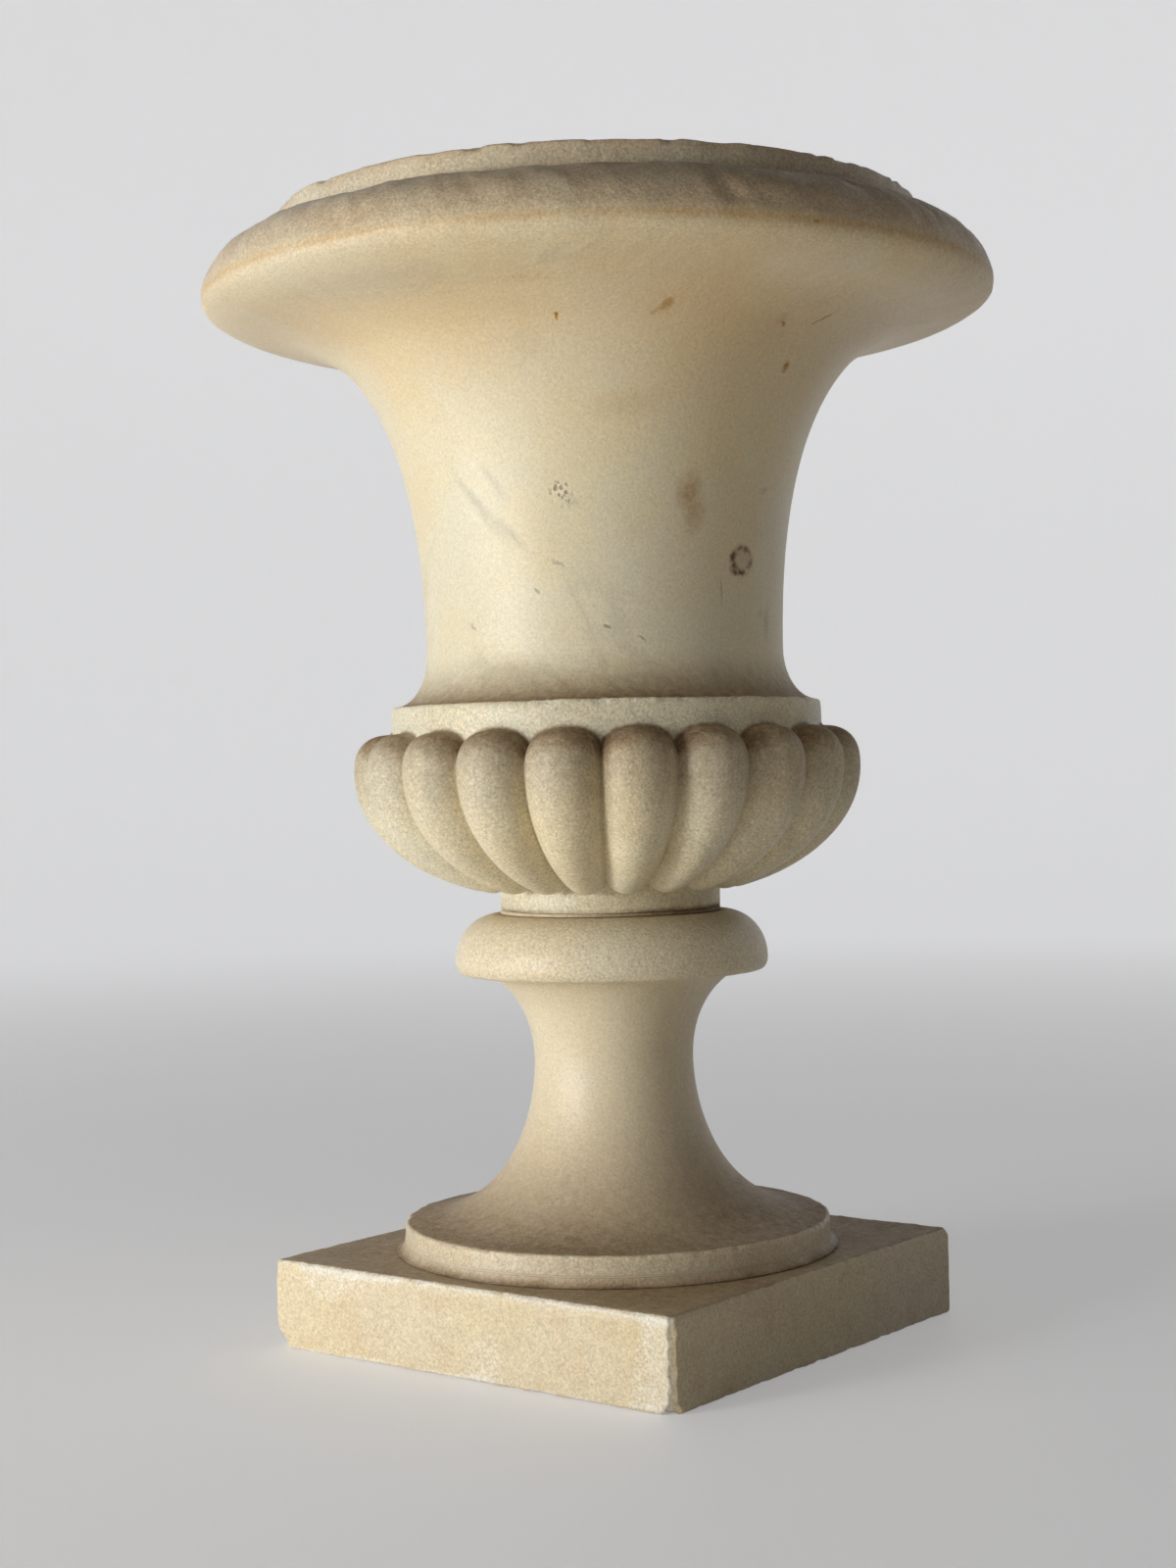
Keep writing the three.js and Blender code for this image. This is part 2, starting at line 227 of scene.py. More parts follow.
def angle(name, description, degrees):
    """An angle in the panel, kept in radians and written here in degrees."""
    return amount(name, description, math.radians(degrees), subtype="ANGLE")


def tint(name, description, red, green, blue):
    """A colour in the panel, written here as the screen shows it."""
    return FloatVectorProperty(
        name=name, description=description, default=linear(red, green, blue), size=3, min=0, max=1, subtype="COLOR"
    )


class BowlSizes(bpy.types.PropertyGroup):
    """Sizes of the bowl"""

    neck_radius: length("Neck radius", "The round foot that stands on the socle", 38.7)
    neck_height: length("Neck height", "From the foot up to the lowest point of the lobes", 6.9)
    lobe_count: IntProperty(name="Lobes", description="Lobes of the gadrooned underside", default=20, min=8)
    lobe_radius: length("Lobe radius", "From the axis to the widest point of a lobe", 88.9)
    lobe_reach: length("Lobe reach", "How far the lobes' crest line turns in, at full size", 65.7)
    lobe_drop: length("Lobe drop", "How far the crest line falls, at full size", 44.8)
    lobe_dome: length("Lobe dome", "Height of the rounded top of a lobe above its widest level", 13.6)
    collar_radius: length("Collar radius", "The band that the lobes' tops run into", 75.4)
    collar_rise: length("Collar rise", "From the lobes' widest level to the top of the collar", 23)
    cavetto_height: length("Cavetto height", "The hollow moulding between collar and bell", 18)
    bell_radius: length("Bell radius", "The narrowest part of the bell", 62.6)
    bell_height: length("Bell height", "From the narrowest part up to the lip's underside", 112.7)
    lip_radius: length("Lip radius", "From the axis to the lip's edge", round(BOWL_HIGH.x / MM, 2))
    ovolo_height: length("Ovolo height", "The rounded moulding on top of the lip", 20.6)
    ovolo_depth: length("Ovolo depth", "How far that moulding goes in", 25.1)
    band_height: length("Band height", "The raised band round the mouth", 8.3)
    band_width: length("Band width", "From the band's outside to the mouth", 13)
    wall: length("Wall", "Thickness of the stone at the bell's narrowest part", 16.6)
    floor_thickness: length("Floor", "Thickness of the stone under the hollow", 38)


class SocleSizes(bpy.types.PropertyGroup):
    """Sizes of the socle"""

    foot_radius: length("Foot radius", "The round foot on the plinth", round(SOCLE_HIGH.x / MM, 2))
    foot_edge: length("Foot edge", "Height of the foot's upright edge", 9.1)
    waist_radius: length("Waist radius", "The narrowest part of the stem", 28)
    waist_rise: length("Waist rise", "From the foot's edge up to the waist", 55)
    stem_radius: length("Stem top radius", "Where the stem meets the half-round collar", 44.4)
    stem_rise: length("Stem rise", "From the waist up to that collar", 30.5)
    torus_radius: length("Collar radius", "The half-round collar under the bowl", 55)
    torus_height: length("Collar height", "Height of that collar", 21)
    torus_belly: length("Collar belly", "Height of its widest point", 4.5)
    seat_radius: length("Seat radius", "The flat seat of the bowl", 40)


class PlinthSizes(bpy.types.PropertyGroup):
    """Sizes of the plinth"""

    half_side: length("Half side", "From the axis to a side", round(PLINTH_HIGH.x / MM, 2))
    thickness: length("Thickness", "Height of the slab", round(PLINTH_HIGH.z / MM, 2))
    corner_round: length("Corner round", "Rounding of the upright corners", 1.8)
    edge_round: length("Edge round", "Rounding of the arrises", 1.4)


class StoneFinish(bpy.types.PropertyGroup):
    """Colours and wear of the marble and the mortar"""

    ivory: tint("Ivory", "Clean stone", 225, 218, 192)
    cream: tint("Cream", "Yellowed stone", 227, 210, 168)
    beige: tint("Beige", "Warm stone of socle and plinth", 229, 214, 182)
    haze: tint("Haze", "Pinkish beige weathering", 208, 183, 150)
    # Patina also serves as painted shade where the soil mask carries it: in the grooves between lobes, at the foot of
    # the collar, under the lip's edge and round the neck mortar's side away from the lamps.
    patina: tint("Patina", "Brown dirt on upward faces and in hollows", 130, 101, 68)
    grime: tint("Grime", "The darkest dirt, deep in the grooves", 92, 70, 50)
    ochre: tint("Ochre", "Iron-stained line along the lip", 204, 168, 112)
    # Fresh stone also paints the highlights on the plinth's lit arrises and faces, and the glints of the brightest
    # crystals.
    fresh: tint("Fresh stone", "Chipped and rubbed edges", 243, 237, 221)
    vein: tint("Vein", "Faint grey veins", 152, 148, 126)
    stain: tint("Stain", "Amber marks on the bell", 164, 112, 12)
    burn: tint("Burn", "The darkest marks on the bell", 104, 62, 4)
    mortar: tint("Mortar", "Lime mortar in the joints", 226, 211, 180)
    grain: length("Grain", "Size of the marble's crystals", 0.9)
    wear: length("Wear", "Depth of the general wear", 0.3)
    soil: share("Soil", "How much of the patina shows", 0.85)


class IronFinish(bpy.types.PropertyGroup):
    """Colours of the fittings"""

    iron: tint("Iron", "Dull wrought iron", 92, 80, 72)
    rust: tint("Rust", "Rust on it", 132, 78, 46)
    lead: tint("Lead", "Lead sheet", 138, 141, 146)
    lead_bloom: tint("Lead bloom", "Pale bloom on the lead", 178, 178, 176)
    thread_pitch: length("Thread pitch", "Rise of the thread for each turn", 1.75)


class StageSettings(bpy.types.PropertyGroup):
    """Camera, lamps and floor"""

    azimuth: angle("Azimuth", "Direction of the camera round the object", 37.42)
    distance: length("Distance", "From the axis to the camera", 850.1)
    height: length("Height", "Height of the camera", 196.55)
    yaw: angle("Yaw", "Turn of the camera off the axis", -0.4684)
    pitch: angle("Pitch", "Tilt of the camera", -0.2874)
    roll: angle("Roll", "Roll of the camera", -1.2947)
    lens: amount("Lens", "Focal length for a 36 mm long side", 55.448, unit="CAMERA")
    key: amount("Key", "Light of the main lamp on the left", 9.8, unit="POWER")
    reflector: amount("Reflector", "Light of the board low on the left", 4, unit="POWER")
    sky: amount("Sky", "Even light from all round", 0.06, min=0)
    floor: tint("Floor", "Pale floor", 222, 222, 224)
    warmth: tint("Warmth", "Colour of the light from all round and from the floor", 255, 240, 216)
    bounce: amount("Bounce", "Soft light that the floor gives off", 0.42, min=0)
    backdrop: tint("Backdrop", "Pale wall behind the object, as the camera sees it", 216, 217, 219)


class JardiniereSettings(bpy.types.PropertyGroup):
    """All settings of the jardiniere"""

    bowl: PointerProperty(type=BowlSizes)
    socle: PointerProperty(type=SocleSizes)
    plinth: PointerProperty(type=PlinthSizes)
    stone: PointerProperty(type=StoneFinish)
    iron: PointerProperty(type=IronFinish)
    stage: PointerProperty(type=StageSettings)


# Surfaces


def lattice_noise(points, size, seed):
    """Smooth noise from 0 to 1: hashed values at the corners of a cubic lattice, blended by 3t2 - 2t3."""
    place = points / size + seed * 17.31
    cell = np.floor(place).astype(np.int64)
    part = place - cell
    part = part * part * (3 - 2 * part)
    total = np.zeros(points.shape[:-1])
    for corner in np.ndindex(2, 2, 2):
        key = (cell + corner) @ np.array([73856093, 19349663, 83492791]) + seed * 7919
        key = (key ^ (key >> 13)) * 1274126177
        value = ((key ^ (key >> 16)) & 0xFFFF) / 0xFFFF
        total += value * np.prod(np.where(np.array(corner, bool), part, 1 - part), -1)
    return total


def lumps(points, sizes, seed):
    """Noise of several sizes, in mm, from seeds that follow each other."""
    return [lattice_noise(points, size * MM, seed + step) for step, size in enumerate(sizes)]


def smooth_step(value, low, high):
    """0 below low, 1 above high, and 3t2 - 2t3 between them."""
    t = np.clip((value - low) / (high - low), 0, 1)
    return t * t * (3 - 2 * t)


def line(*corners):
    """A straight stretch of a profile."""
    return np.array(corners, float)


def arc(centre, across, up, start, end):
    """A stretch of an ellipse in a profile, from one angle to another."""
    turn = np.linspace(start, end, ARC_POINTS)
    return np.stack([centre[0] + across * np.cos(turn), centre[1] + up * np.sin(turn)], 1)


def rounded(x, z, radius, start, end):
    """A stretch of a circle in a profile."""
    return arc((x, z), radius, radius, start, end)


def flare(start, pull, end, reach, slope):
    """A cubic Bezier curve that leaves its start upright, by a signed pull, and comes in to its end at a slope."""
    start, end = np.array(start), np.array(end)
    leave = start + (0, pull)
    arrive = end - reach * np.array([math.cos(slope), math.sin(slope)])
    t = np.linspace(0, 1, FLARE_POINTS)[:, None]
    return (1 - t) ** 3 * start + 3 * (1 - t) ** 2 * t * leave + 3 * (1 - t) * t**2 * arrive + t**3 * end


def even(curve, rows):
    """That many points spaced evenly along a curve, without its end, which the next stretch starts with."""
    along = np.concatenate([[0], np.cumsum(np.linalg.norm(np.diff(curve, axis=0), axis=1))])
    want = np.linspace(0, along[-1], rows, endpoint=False)
    return np.stack([np.interp(want, along, curve[:, i]) for i in range(2)], 1)


def joined(stretches):
    """Joins stretches, each (curve, rows, soil at its start, soil at its end), to one profile with its soil. On some
    stretches the soil is partly painted shade.
    """
    profile = np.concatenate([even(curve, rows) for curve, rows, _, _ in stretches])
    soil = np.concatenate([np.linspace(a, b, rows, endpoint=False) for _, rows, a, b in stretches])
    return profile, soil


def first_rows(parts, first=0):
    """The number of the row that each named stretch of a profile starts with."""
    counts = [rows for *_, rows, _, _ in parts.values()]
    return dict(zip(parts, (first + np.cumsum([0] + counts)).tolist()))


def all_round(columns):
    """Azimuths spaced evenly round the axis."""
    return np.linspace(0, 2 * math.pi, columns, endpoint=False)


def polar(radius, azimuth, level):
    """Points (r cos a, r sin a, z) at radius r, azimuth a and level z."""
    return np.stack(np.broadcast_arrays(radius * np.cos(azimuth), radius * np.sin(azimuth), level), -1)


def turned(profile, azimuth):
    """Carries a profile of radii and levels round the axis."""
    return polar(profile[:, :1], azimuth, profile[:, 1:])


def outward(points):
    """Unit normals of a grid that closes both ways: the cross product of its two central differences."""
    around = np.roll(points, -1, 1) - np.roll(points, 1, 1)
    along = np.roll(points, -1, 0) - np.roll(points, 1, 0)
    normal = np.cross(around, along)
    return normal / np.maximum(np.linalg.norm(normal, axis=-1, keepdims=True), 1e-12)


def worn(points, depth):
    """Moves each point in along its normal, by a depth for each point."""
    return points - depth[..., None] * outward(points)


def softened(points, weight, passes):
    """Moves each point towards the mean of its four neighbours on the grid, by a weight for each row."""
    for _ in range(passes):
        mean = sum(np.roll(points, step, axis) for step in (-1, 1) for axis in (0, 1)) / 4
        points = points + weight[..., None] * (mean - points)
    return points


def along_profile(points):
    """Distance of each row along the profile of the first column."""
    steps = np.linalg.norm(np.diff(points[:, 0], axis=0), axis=1)
    return np.concatenate([[0], np.cumsum(steps)])


def rows_between(points, first, last):
    """1 on a stretch of rows, with hard ends."""
    row = np.arange(len(points))[:, None]
    return ((row >= first) & (row < last)).astype(float)


def on_rows(points, first, last, soft):
    """1 on a stretch of rows, fading out over a few rows at either end."""
    row = np.arange(len(points))[:, None]
    return smooth_step(row, first - soft, first + soft) * (1 - smooth_step(row, last - soft, last + soft))


def slanted(points, slant, stretch):
    """Places for noise drawn out along lines that cross the profile at a slant.
    They are (R cos p, R sin p, stretch s), where s runs along the profile, R is the widest radius and p is the azimuth
    plus slant times s over R."""
    radius = np.hypot(points[..., 0], points[..., 1]).max()
    along = along_profile(points)[:, None]
    turn = np.arctan2(points[..., 1], points[..., 0]) + slant * along / radius
    return polar(radius, turn, stretch * along)


def near_row(points, row, width):
    """1 on a row of the grid, falling off as a bell curve with the distance along the profile."""
    along = along_profile(points)
    return np.exp(-(((along - along[row]) / width) ** 2))[:, None]


def edge_wear(mid, fine, edges):
    """Depth of wear along edges, each (mask, lumps, pitting): lumps times the middle noise squared, and pitting times
    the fine noise."""
    return sum(mask * (lump * mid**2 + pitting * fine) for mask, lump, pitting in edges)


def chips_along(points, rows, edges):
    """Balls that bite into edges at random places, as (centre, radius), each as deep as its draw says."""
    facing, chips = outward(points), []
    for stretch, step, count, sizes, depths, seed in edges:
        row, draw = rows[stretch] + step, np.random.default_rng(seed)
        pick = draw.integers(points.shape[1], size=count)
        radius = draw.uniform(*sizes, count) * MM
        sink = draw.uniform(*depths, count) * MM
        chips += zip(points[row, pick] + facing[row, pick] * (radius - sink)[:, None], radius)
    return chips


def chipped(points, chips):
    """Presses chips in: what lies in a chip's ball moves out to its face. Also gives each point's depth of cut."""
    points, cut = points.copy(), np.zeros(points.shape[:2])
    for centre, radius in chips:
        away = points - centre
        gap = np.linalg.norm(away, axis=-1)
        hit = gap < radius
        cut[hit] = np.maximum(cut[hit], radius - gap[hit])
        points[hit] = centre + away[hit] * (radius / gap[hit])[:, None]
    return points, cut


def ring_mesh(name, points, masks):
    """A mesh from a grid that closes both ways, with its masks as attributes of the points."""
    rows, columns = points.shape[:2]
    index = np.arange(rows * columns).reshape(rows, columns)
    right = np.roll(index, -1, 1)
    quads = np.stack([index, right, np.roll(right, -1, 0), np.roll(index, -1, 0)], -1).reshape(-1, 4)
    mesh = bpy.data.meshes.new(name)
    mesh.vertices.add(index.size)
    mesh.vertices.foreach_set("co", points.astype(np.float32).ravel())
    mesh.loops.add(quads.size)
    mesh.loops.foreach_set("vertex_index", quads.astype(np.int32).ravel())
    mesh.polygons.add(len(quads))
    mesh.polygons.foreach_set("loop_start", np.arange(0, quads.size, 4, dtype=np.int32))
    mesh.update(calc_edges=True)
    mesh.shade_smooth()
    for key, mask in masks.items():
        layer = mesh.attributes.new(key, "FLOAT", "POINT")
        values = np.broadcast_to(np.clip(mask, 0, 1), index.shape)
        layer.data.foreach_set("value", values.astype(np.float32).ravel())
    return mesh


def put(name, points, masks, material, slot, *nodes):
    """Makes a grid a piece that rides on the part in place of its CAD nodes."""
    mesh = ring_mesh(name, points, masks)
    mesh.materials.append(material)
    piece = bpy.data.objects.new(name, mesh)
    bpy.context.scene.collection.objects.link(piece)
    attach(piece, "root")
    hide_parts(*nodes)


def lobe_section(sizes, level, drop):
    """Circles of a lobe at angles below its widest level.
    The crest is an ellipse, and each circle lies inside it and just overlaps its neighbours."""
    crest = np.stack(
        [sizes.lobe_radius - sizes.lobe_reach * (1 - np.cos(drop)), level - sizes.lobe_drop * np.sin(drop)], 1
    )
    out = np.stack([np.cos(drop) / sizes.lobe_reach, -np.sin(drop) / sizes.lobe_drop], 1)
    out /= np.linalg.norm(out, axis=1, keepdims=True)
    fill = LOBE_FULLNESS * math.sin(math.pi / sizes.lobe_count)
    radius = fill * crest[:, 0] / (1 + fill * out[:, 0])
    return crest - radius[:, None] * out, out, radius


def bowl_surface(sizes):
    """The bowl as one grid of rows along its profile by columns round it, closed both ways.
    Turned rows are a profile carried round the axis. In the lobes each row is a chain of circle arcs, from groove to
    groove. Their domes are superellipses that meet the collar, and each column runs up its dome to that line and then
    up the collar. Gives the points, the soil of each point, partly painted shade, and the numbers of the rows at the
    edges."""
    half = math.pi / sizes.lobe_count
    across = np.tile(np.linspace(-1, 1, PER_LOBE, endpoint=False), sizes.lobe_count)
    middle = np.repeat((np.arange(sizes.lobe_count) + 0.5) * 2 * half, PER_LOBE)
    foot = BOWL_LOW.z
    end = math.acos(
        (sizes.neck_radius + LOBE_SET_OUT - sizes.lobe_radius + sizes.lobe_reach) / sizes.lobe_reach
    )
    level = foot + sizes.neck_height + sizes.lobe_drop * math.sin(end)

    def swept(centre, out, radius):
        """One row for each circle, which spans its outward direction and the direction round the axis."""
        lean = math.tan(half) * out[:, 0]
        groove = np.arctan(lean) + np.arcsin(math.tan(half) * centre[:, 0] / (radius * np.hypot(1, lean)))
        turn = groove[:, None] * across
        reach = radius[:, None] * np.cos(turn)
        x, y = centre[:, :1] + reach * out[:, :1], radius[:, None] * np.sin(turn)
        z = centre[:, 1:] + reach * out[:, 1:]
        return np.stack(
            [x * np.cos(middle) - y * np.sin(middle), x * np.sin(middle) + y * np.cos(middle), z], -1
        )

    belly = swept(*lobe_section(sizes, level, np.linspace(end, 0, BELLY_ROWS)))
    centre, out, radius = lobe_section(sizes, level, np.array([end]))
    lean = math.asin(out[0, 0])
    cap = lean + math.asin((centre[0, 0] - sizes.neck_radius) / radius[0])
    turn = lean - np.linspace(cap, 0, NOSE_ROWS, endpoint=False)
    aim = np.stack([np.sin(turn), -np.cos(turn)], 1)
    nose = swept(np.repeat(centre, NOSE_ROWS, 0), aim, np.repeat(radius, NOSE_ROWS))

    widest = belly[-1]
    azimuth = np.arctan2(widest[:, 1], widest[:, 0])
    theta = (azimuth - middle + math.pi) % (2 * math.pi) - math.pi
    top, _, fat = lobe_section(sizes, level, np.zeros(1))
    top, fat = top[0, 0], fat[0]
    power = 2 / LOBE_SQUARENESS
    side = top * np.sin(theta)
    meet = np.hypot(sizes.collar_radius - top * np.cos(theta), side)
    last = np.arccos(np.clip(meet / fat, 0, 1) ** (1 / power))
    rise = np.linspace(0, 1, DOME_ROWS + 1)[1:, None] * last
    size = fat * np.cos(rise) ** power
    radial = top * np.cos(theta) + np.sqrt(np.maximum(size**2 - side**2, 0))
    height = level + sizes.lobe_dome * np.sin(rise) ** power
    dome = polar(radial, azimuth, height)

    def upright(radius, low, high, rows):
        """Rows up a cylinder between two levels, each of which may change round it."""
        t = np.linspace(0, 1, rows + 2)[1:-1, None]
        return polar(radius, azimuth, low + t * (high - low))

    collar_top = level + sizes.collar_rise
    wall = upright(sizes.collar_radius, height[-1], collar_top - COLLAR_ROUND, COLLAR_ROWS)
    under, under_soil = joined(
        [
            (line((HOLE_RADIUS, foot), (sizes.neck_radius - NECK_EASE, foot)), 4, 0.6, 0.6),
            (rounded(sizes.neck_radius - NECK_EASE, foot + NECK_EASE, NECK_EASE, -QUARTER, 0), 3, 0.5, 0.3),
        ]
    )
    neck = upright(sizes.neck_radius, foot + NECK_EASE, nose[0, :, 2], NECK_ROWS)

    cavetto = sizes.cavetto_height
    bell_foot = collar_top + cavetto
    collar_flat = sizes.collar_radius - COLLAR_ROUND
    hollow = collar_flat - sizes.bell_radius
    lip = (sizes.lip_radius - LIP_NOSE_DEPTH, bell_foot + sizes.bell_height)
    ovolo = (sizes.lip_radius - sizes.ovolo_depth, lip[1] + LIP_NOSE_HEIGHT)
    ovolo_top = ovolo[1] + sizes.ovolo_height
    band = ovolo[0] - QUIRK_WIDTH
    rim = ovolo_top + sizes.band_height
    mouth = band - sizes.band_width
    mouth_edge = (mouth, rim - BAND_ROUND)
    well = sizes.bell_radius - sizes.wall
    floor = foot + sizes.floor_thickness
    quirk = ovolo_top - QUIRK_DEPTH
    parts = {
        "collar": (rounded(collar_flat, collar_top - COLLAR_ROUND, COLLAR_ROUND, 0, QUARTER), 4, 0.03, 0.3),
        "cavetto": (arc((collar_flat, bell_foot), hollow, cavetto, -QUARTER, -2 * QUARTER), 11, 0.92, 0.04),
        "bell": (flare((sizes.bell_radius, bell_foot), BELL_PULL, lip, LIP_REACH, 0), 40, 0.04, 0.1),
        # The lip's soil, 0.1 to 0.24, is mostly painted shade on the downward face just under its edge, with a little
        # patina.
        "lip": (arc((lip[0], ovolo[1]), LIP_NOSE_DEPTH, LIP_NOSE_HEIGHT, -QUARTER, 0), 10, 0.1, 0.24),
        "ovolo": (arc(ovolo, sizes.ovolo_depth, sizes.ovolo_height, 0, QUARTER), 18, 0.32, 1.0),
        "quirk": (line((ovolo[0], ovolo_top), (ovolo[0], quirk), (band, quirk)), 3, 0.9, 1),
        "band": (line((band, quirk), (band, rim - BAND_ROUND)), 4, 0.5, 0.18),
        "band_edge": (rounded(band - BAND_ROUND, rim - BAND_ROUND, BAND_ROUND, 0, QUARTER), 4, 0.16, 0.3),
        "band_top": (line((band - BAND_ROUND, rim), (mouth + BAND_ROUND, rim)), 5, 0.42, 0.42),
        "mouth": (
            line((mouth + BAND_ROUND, rim), (mouth + MOUTH_EASE, rim - MOUTH_EASE), mouth_edge),
            3, 0.35, 0.4,
        ),
        "inside": (flare((well, bell_foot), MOUTH_PULL, mouth_edge, MOUTH_REACH, MOUTH_SLOPE)[::-1], 14, 0.45, 0.6),
        "well": (line((well, bell_foot), (well, floor + FLOOR_ROUND)), 3, 0.6, 0.7),
        "floor_edge": (rounded(well - FLOOR_ROUND, floor + FLOOR_ROUND, FLOOR_ROUND, 0, -QUARTER), 5, 0.7, 0.85),
        "floor": (line((well - FLOOR_ROUND, floor), (HOLE_RADIUS, floor)), 4, 0.85, 0.85),
        "hole": (line((HOLE_RADIUS, floor), (HOLE_RADIUS, foot)), 2, 0.7, 0.6),
    }
    upper, upper_soil_and_shade = joined(parts.values())

    lobes = len(under) + len(neck)
    domes = lobes + len(nose) + len(belly)
    above = domes + len(dome) + len(wall)
    rows = first_rows(parts, above)
    points = np.concatenate([turned(under, azimuth), neck, nose, belly, dome, wall, turned(upper, azimuth)])

    # The soil that groove adds along the grooves between lobes, and the 0.1 on the collar's lowest row where it meets
    # the domes, are painted shade in those creases.
    groove = np.abs(across) ** 8
    crest = np.linspace(0, 1, len(belly))[:, None]
    climb = np.linspace(0, 1, len(dome))[:, None]
    lobe_soil_and_shade = np.concatenate(
        [
            0.1 + 0.14 * groove + np.zeros((len(nose), 1)),
            0.04 + 0.1 * groove + 0.42 * smooth_step(crest, 0.4, 1.05),
            0.5 + 0.4 * smooth_step(climb, 0, 0.8) + 0.1 * groove,
            np.array([0.1, 0.04, 0.03, 0.03, 0.03])[:, None] + 0 * groove,
        ]
    )
    soil = np.concatenate(
        [
            np.repeat(under_soil[:, None], len(azimuth), 1),
            np.full((len(neck), len(azimuth)), 0.26),
            lobe_soil_and_shade,
            np.repeat(upper_soil_and_shade[:, None], len(azimuth), 1),
        ]
    )
    weight = LOBE_SOFTENING * rows_between(points, lobes - 1, domes)
    weight += DOME_SOFTENING * rows_between(points, domes, above)
    points = softened(points, weight, 1)
    fold = FOLD_WEIGHT * on_rows(points, rows["lip"] - FOLD_ROWS, rows["lip"] + FOLD_ROWS, FOLD_FADE)
    return softened(points, fold, FOLD_PASSES), soil, rows


def kept_inside(points, low, high):
    """Holds points inside a CAD node's box."""
    return np.clip(points, np.array(low), np.array(high))


class JARDINIERE_OT_bowl(bpy.types.Operator):
    """Carves the bowl: turned mouldings, lobes with worn edges, and the hollow"""

    bl_idname = "jardiniere.bowl"
    bl_label = "Bowl"

    def execute(self, context):
        settings = context.scene.jardiniere
        stone, wear = settings.stone, settings.stone.wear
        points, soil, rows = bowl_surface(settings.bowl)
        lip = near_row(points, rows["ovolo"], 3 * MM)
        band = near_row(points, rows["band_edge"] + 2, 2.6 * MM)
        collar = near_row(points, rows["collar"] + 2, 2.2 * MM)
        ovolo = on_rows(points, rows["ovolo"] + 2, rows["quirk"], 1)
        under = on_rows(points, rows["lip"] - 4, rows["ovolo"] - 1, 5)
        bell = on_rows(points, rows["cavetto"], rows["lip"], 6)
        tan = on_rows(points, rows["lip"] - 14, rows["ovolo"] - 2, 10)
        inside = on_rows(points, rows["inside"], rows["hole"], 1)
        rim = on_rows(points, rows["ovolo"], rows["band_top"], 2)
        # Painted light: on the rim's side towards the lamps the soil is cut by up to 0.6, so that side shows lighter
        lit_rim = rim * (0.5 + 0.5 * np.cos(np.arctan2(points[..., 1], points[..., 0]) - RIM_LIT_SIDE))
        broad, mid, fine = lumps(points, *BOWL_LUMPS)
        strokes = smooth_step(lattice_noise(slanted(points, 0.6, 0.3), 4.5 * MM, 4), 0.35, 0.8)
        edges = ((ovolo, 3.0, 1.4), (lip, 1.2, 0.6), (band, 2.4, 1.0), (collar, 1.4, 0.8))
        depth = (0.5 * broad + 0.35 * mid) * (1 - 0.6 * bell) + edge_wear(mid, fine, edges)
        depth += 1.2 * ovolo * (1 - strokes) + inside * (1.5 * mid + 0.8 * fine)
        chips = chips_along(points, rows, BOWL_CHIPS)
        points, cut = chipped(worn(points, wear * depth), chips)
        points = kept_inside(points, BOWL_LOW, BOWL_HIGH)
        cloud = lattice_noise(points, 40 * MM, 5)
        streaks = smooth_step(lattice_noise(slanted(points, -0.4, 0.12), 3.4 * MM, 6), 0.3, 0.8)
        sparkle = smooth_step(fine, 0.45, 0.75) * smooth_step(cloud, 0.35, 0.6)
        clean = ovolo * (0.7 * smooth_step(mid, 0.45, 0.8) + 0.28 * strokes)
        masks = {
            "soil": soil * (0.8 + 0.4 * cloud) * (1 - 0.6 * lit_rim) * (1 - clean),
            "rub": (1 - 0.65 * band) * smooth_step(cut, 0.05 * MM, 0.5 * MM)
            + (1.2 * collar + 0.2 * band + 0.45 * ovolo * strokes) * sparkle,
            "rust": near_row(points, rows["ovolo"], 1.8 * MM) * (0.3 + 0.7 * mid)
            + tan * (1 - 0.5 * under) * (0.25 + 0.6 * cloud),
            "haze": 0.28 * under * (0.25 + 0.6 * streaks + 0.5 * cloud * mid)
            + ovolo * (0.5 + 0.6 * mid)
            + 0.85 * band * (0.3 + mid)
            + 0.4 * (rim - ovolo) * (0.4 + mid),
            "grit": 0.98 - 0.56 * np.maximum(bell, under),
        }
        finish = marble("bowl_marble", stone, stone.ivory, stone.cream, True)
        put("marble_bowl", points, masks, finish, "marble", "bowl")
        return {"FINISHED"}


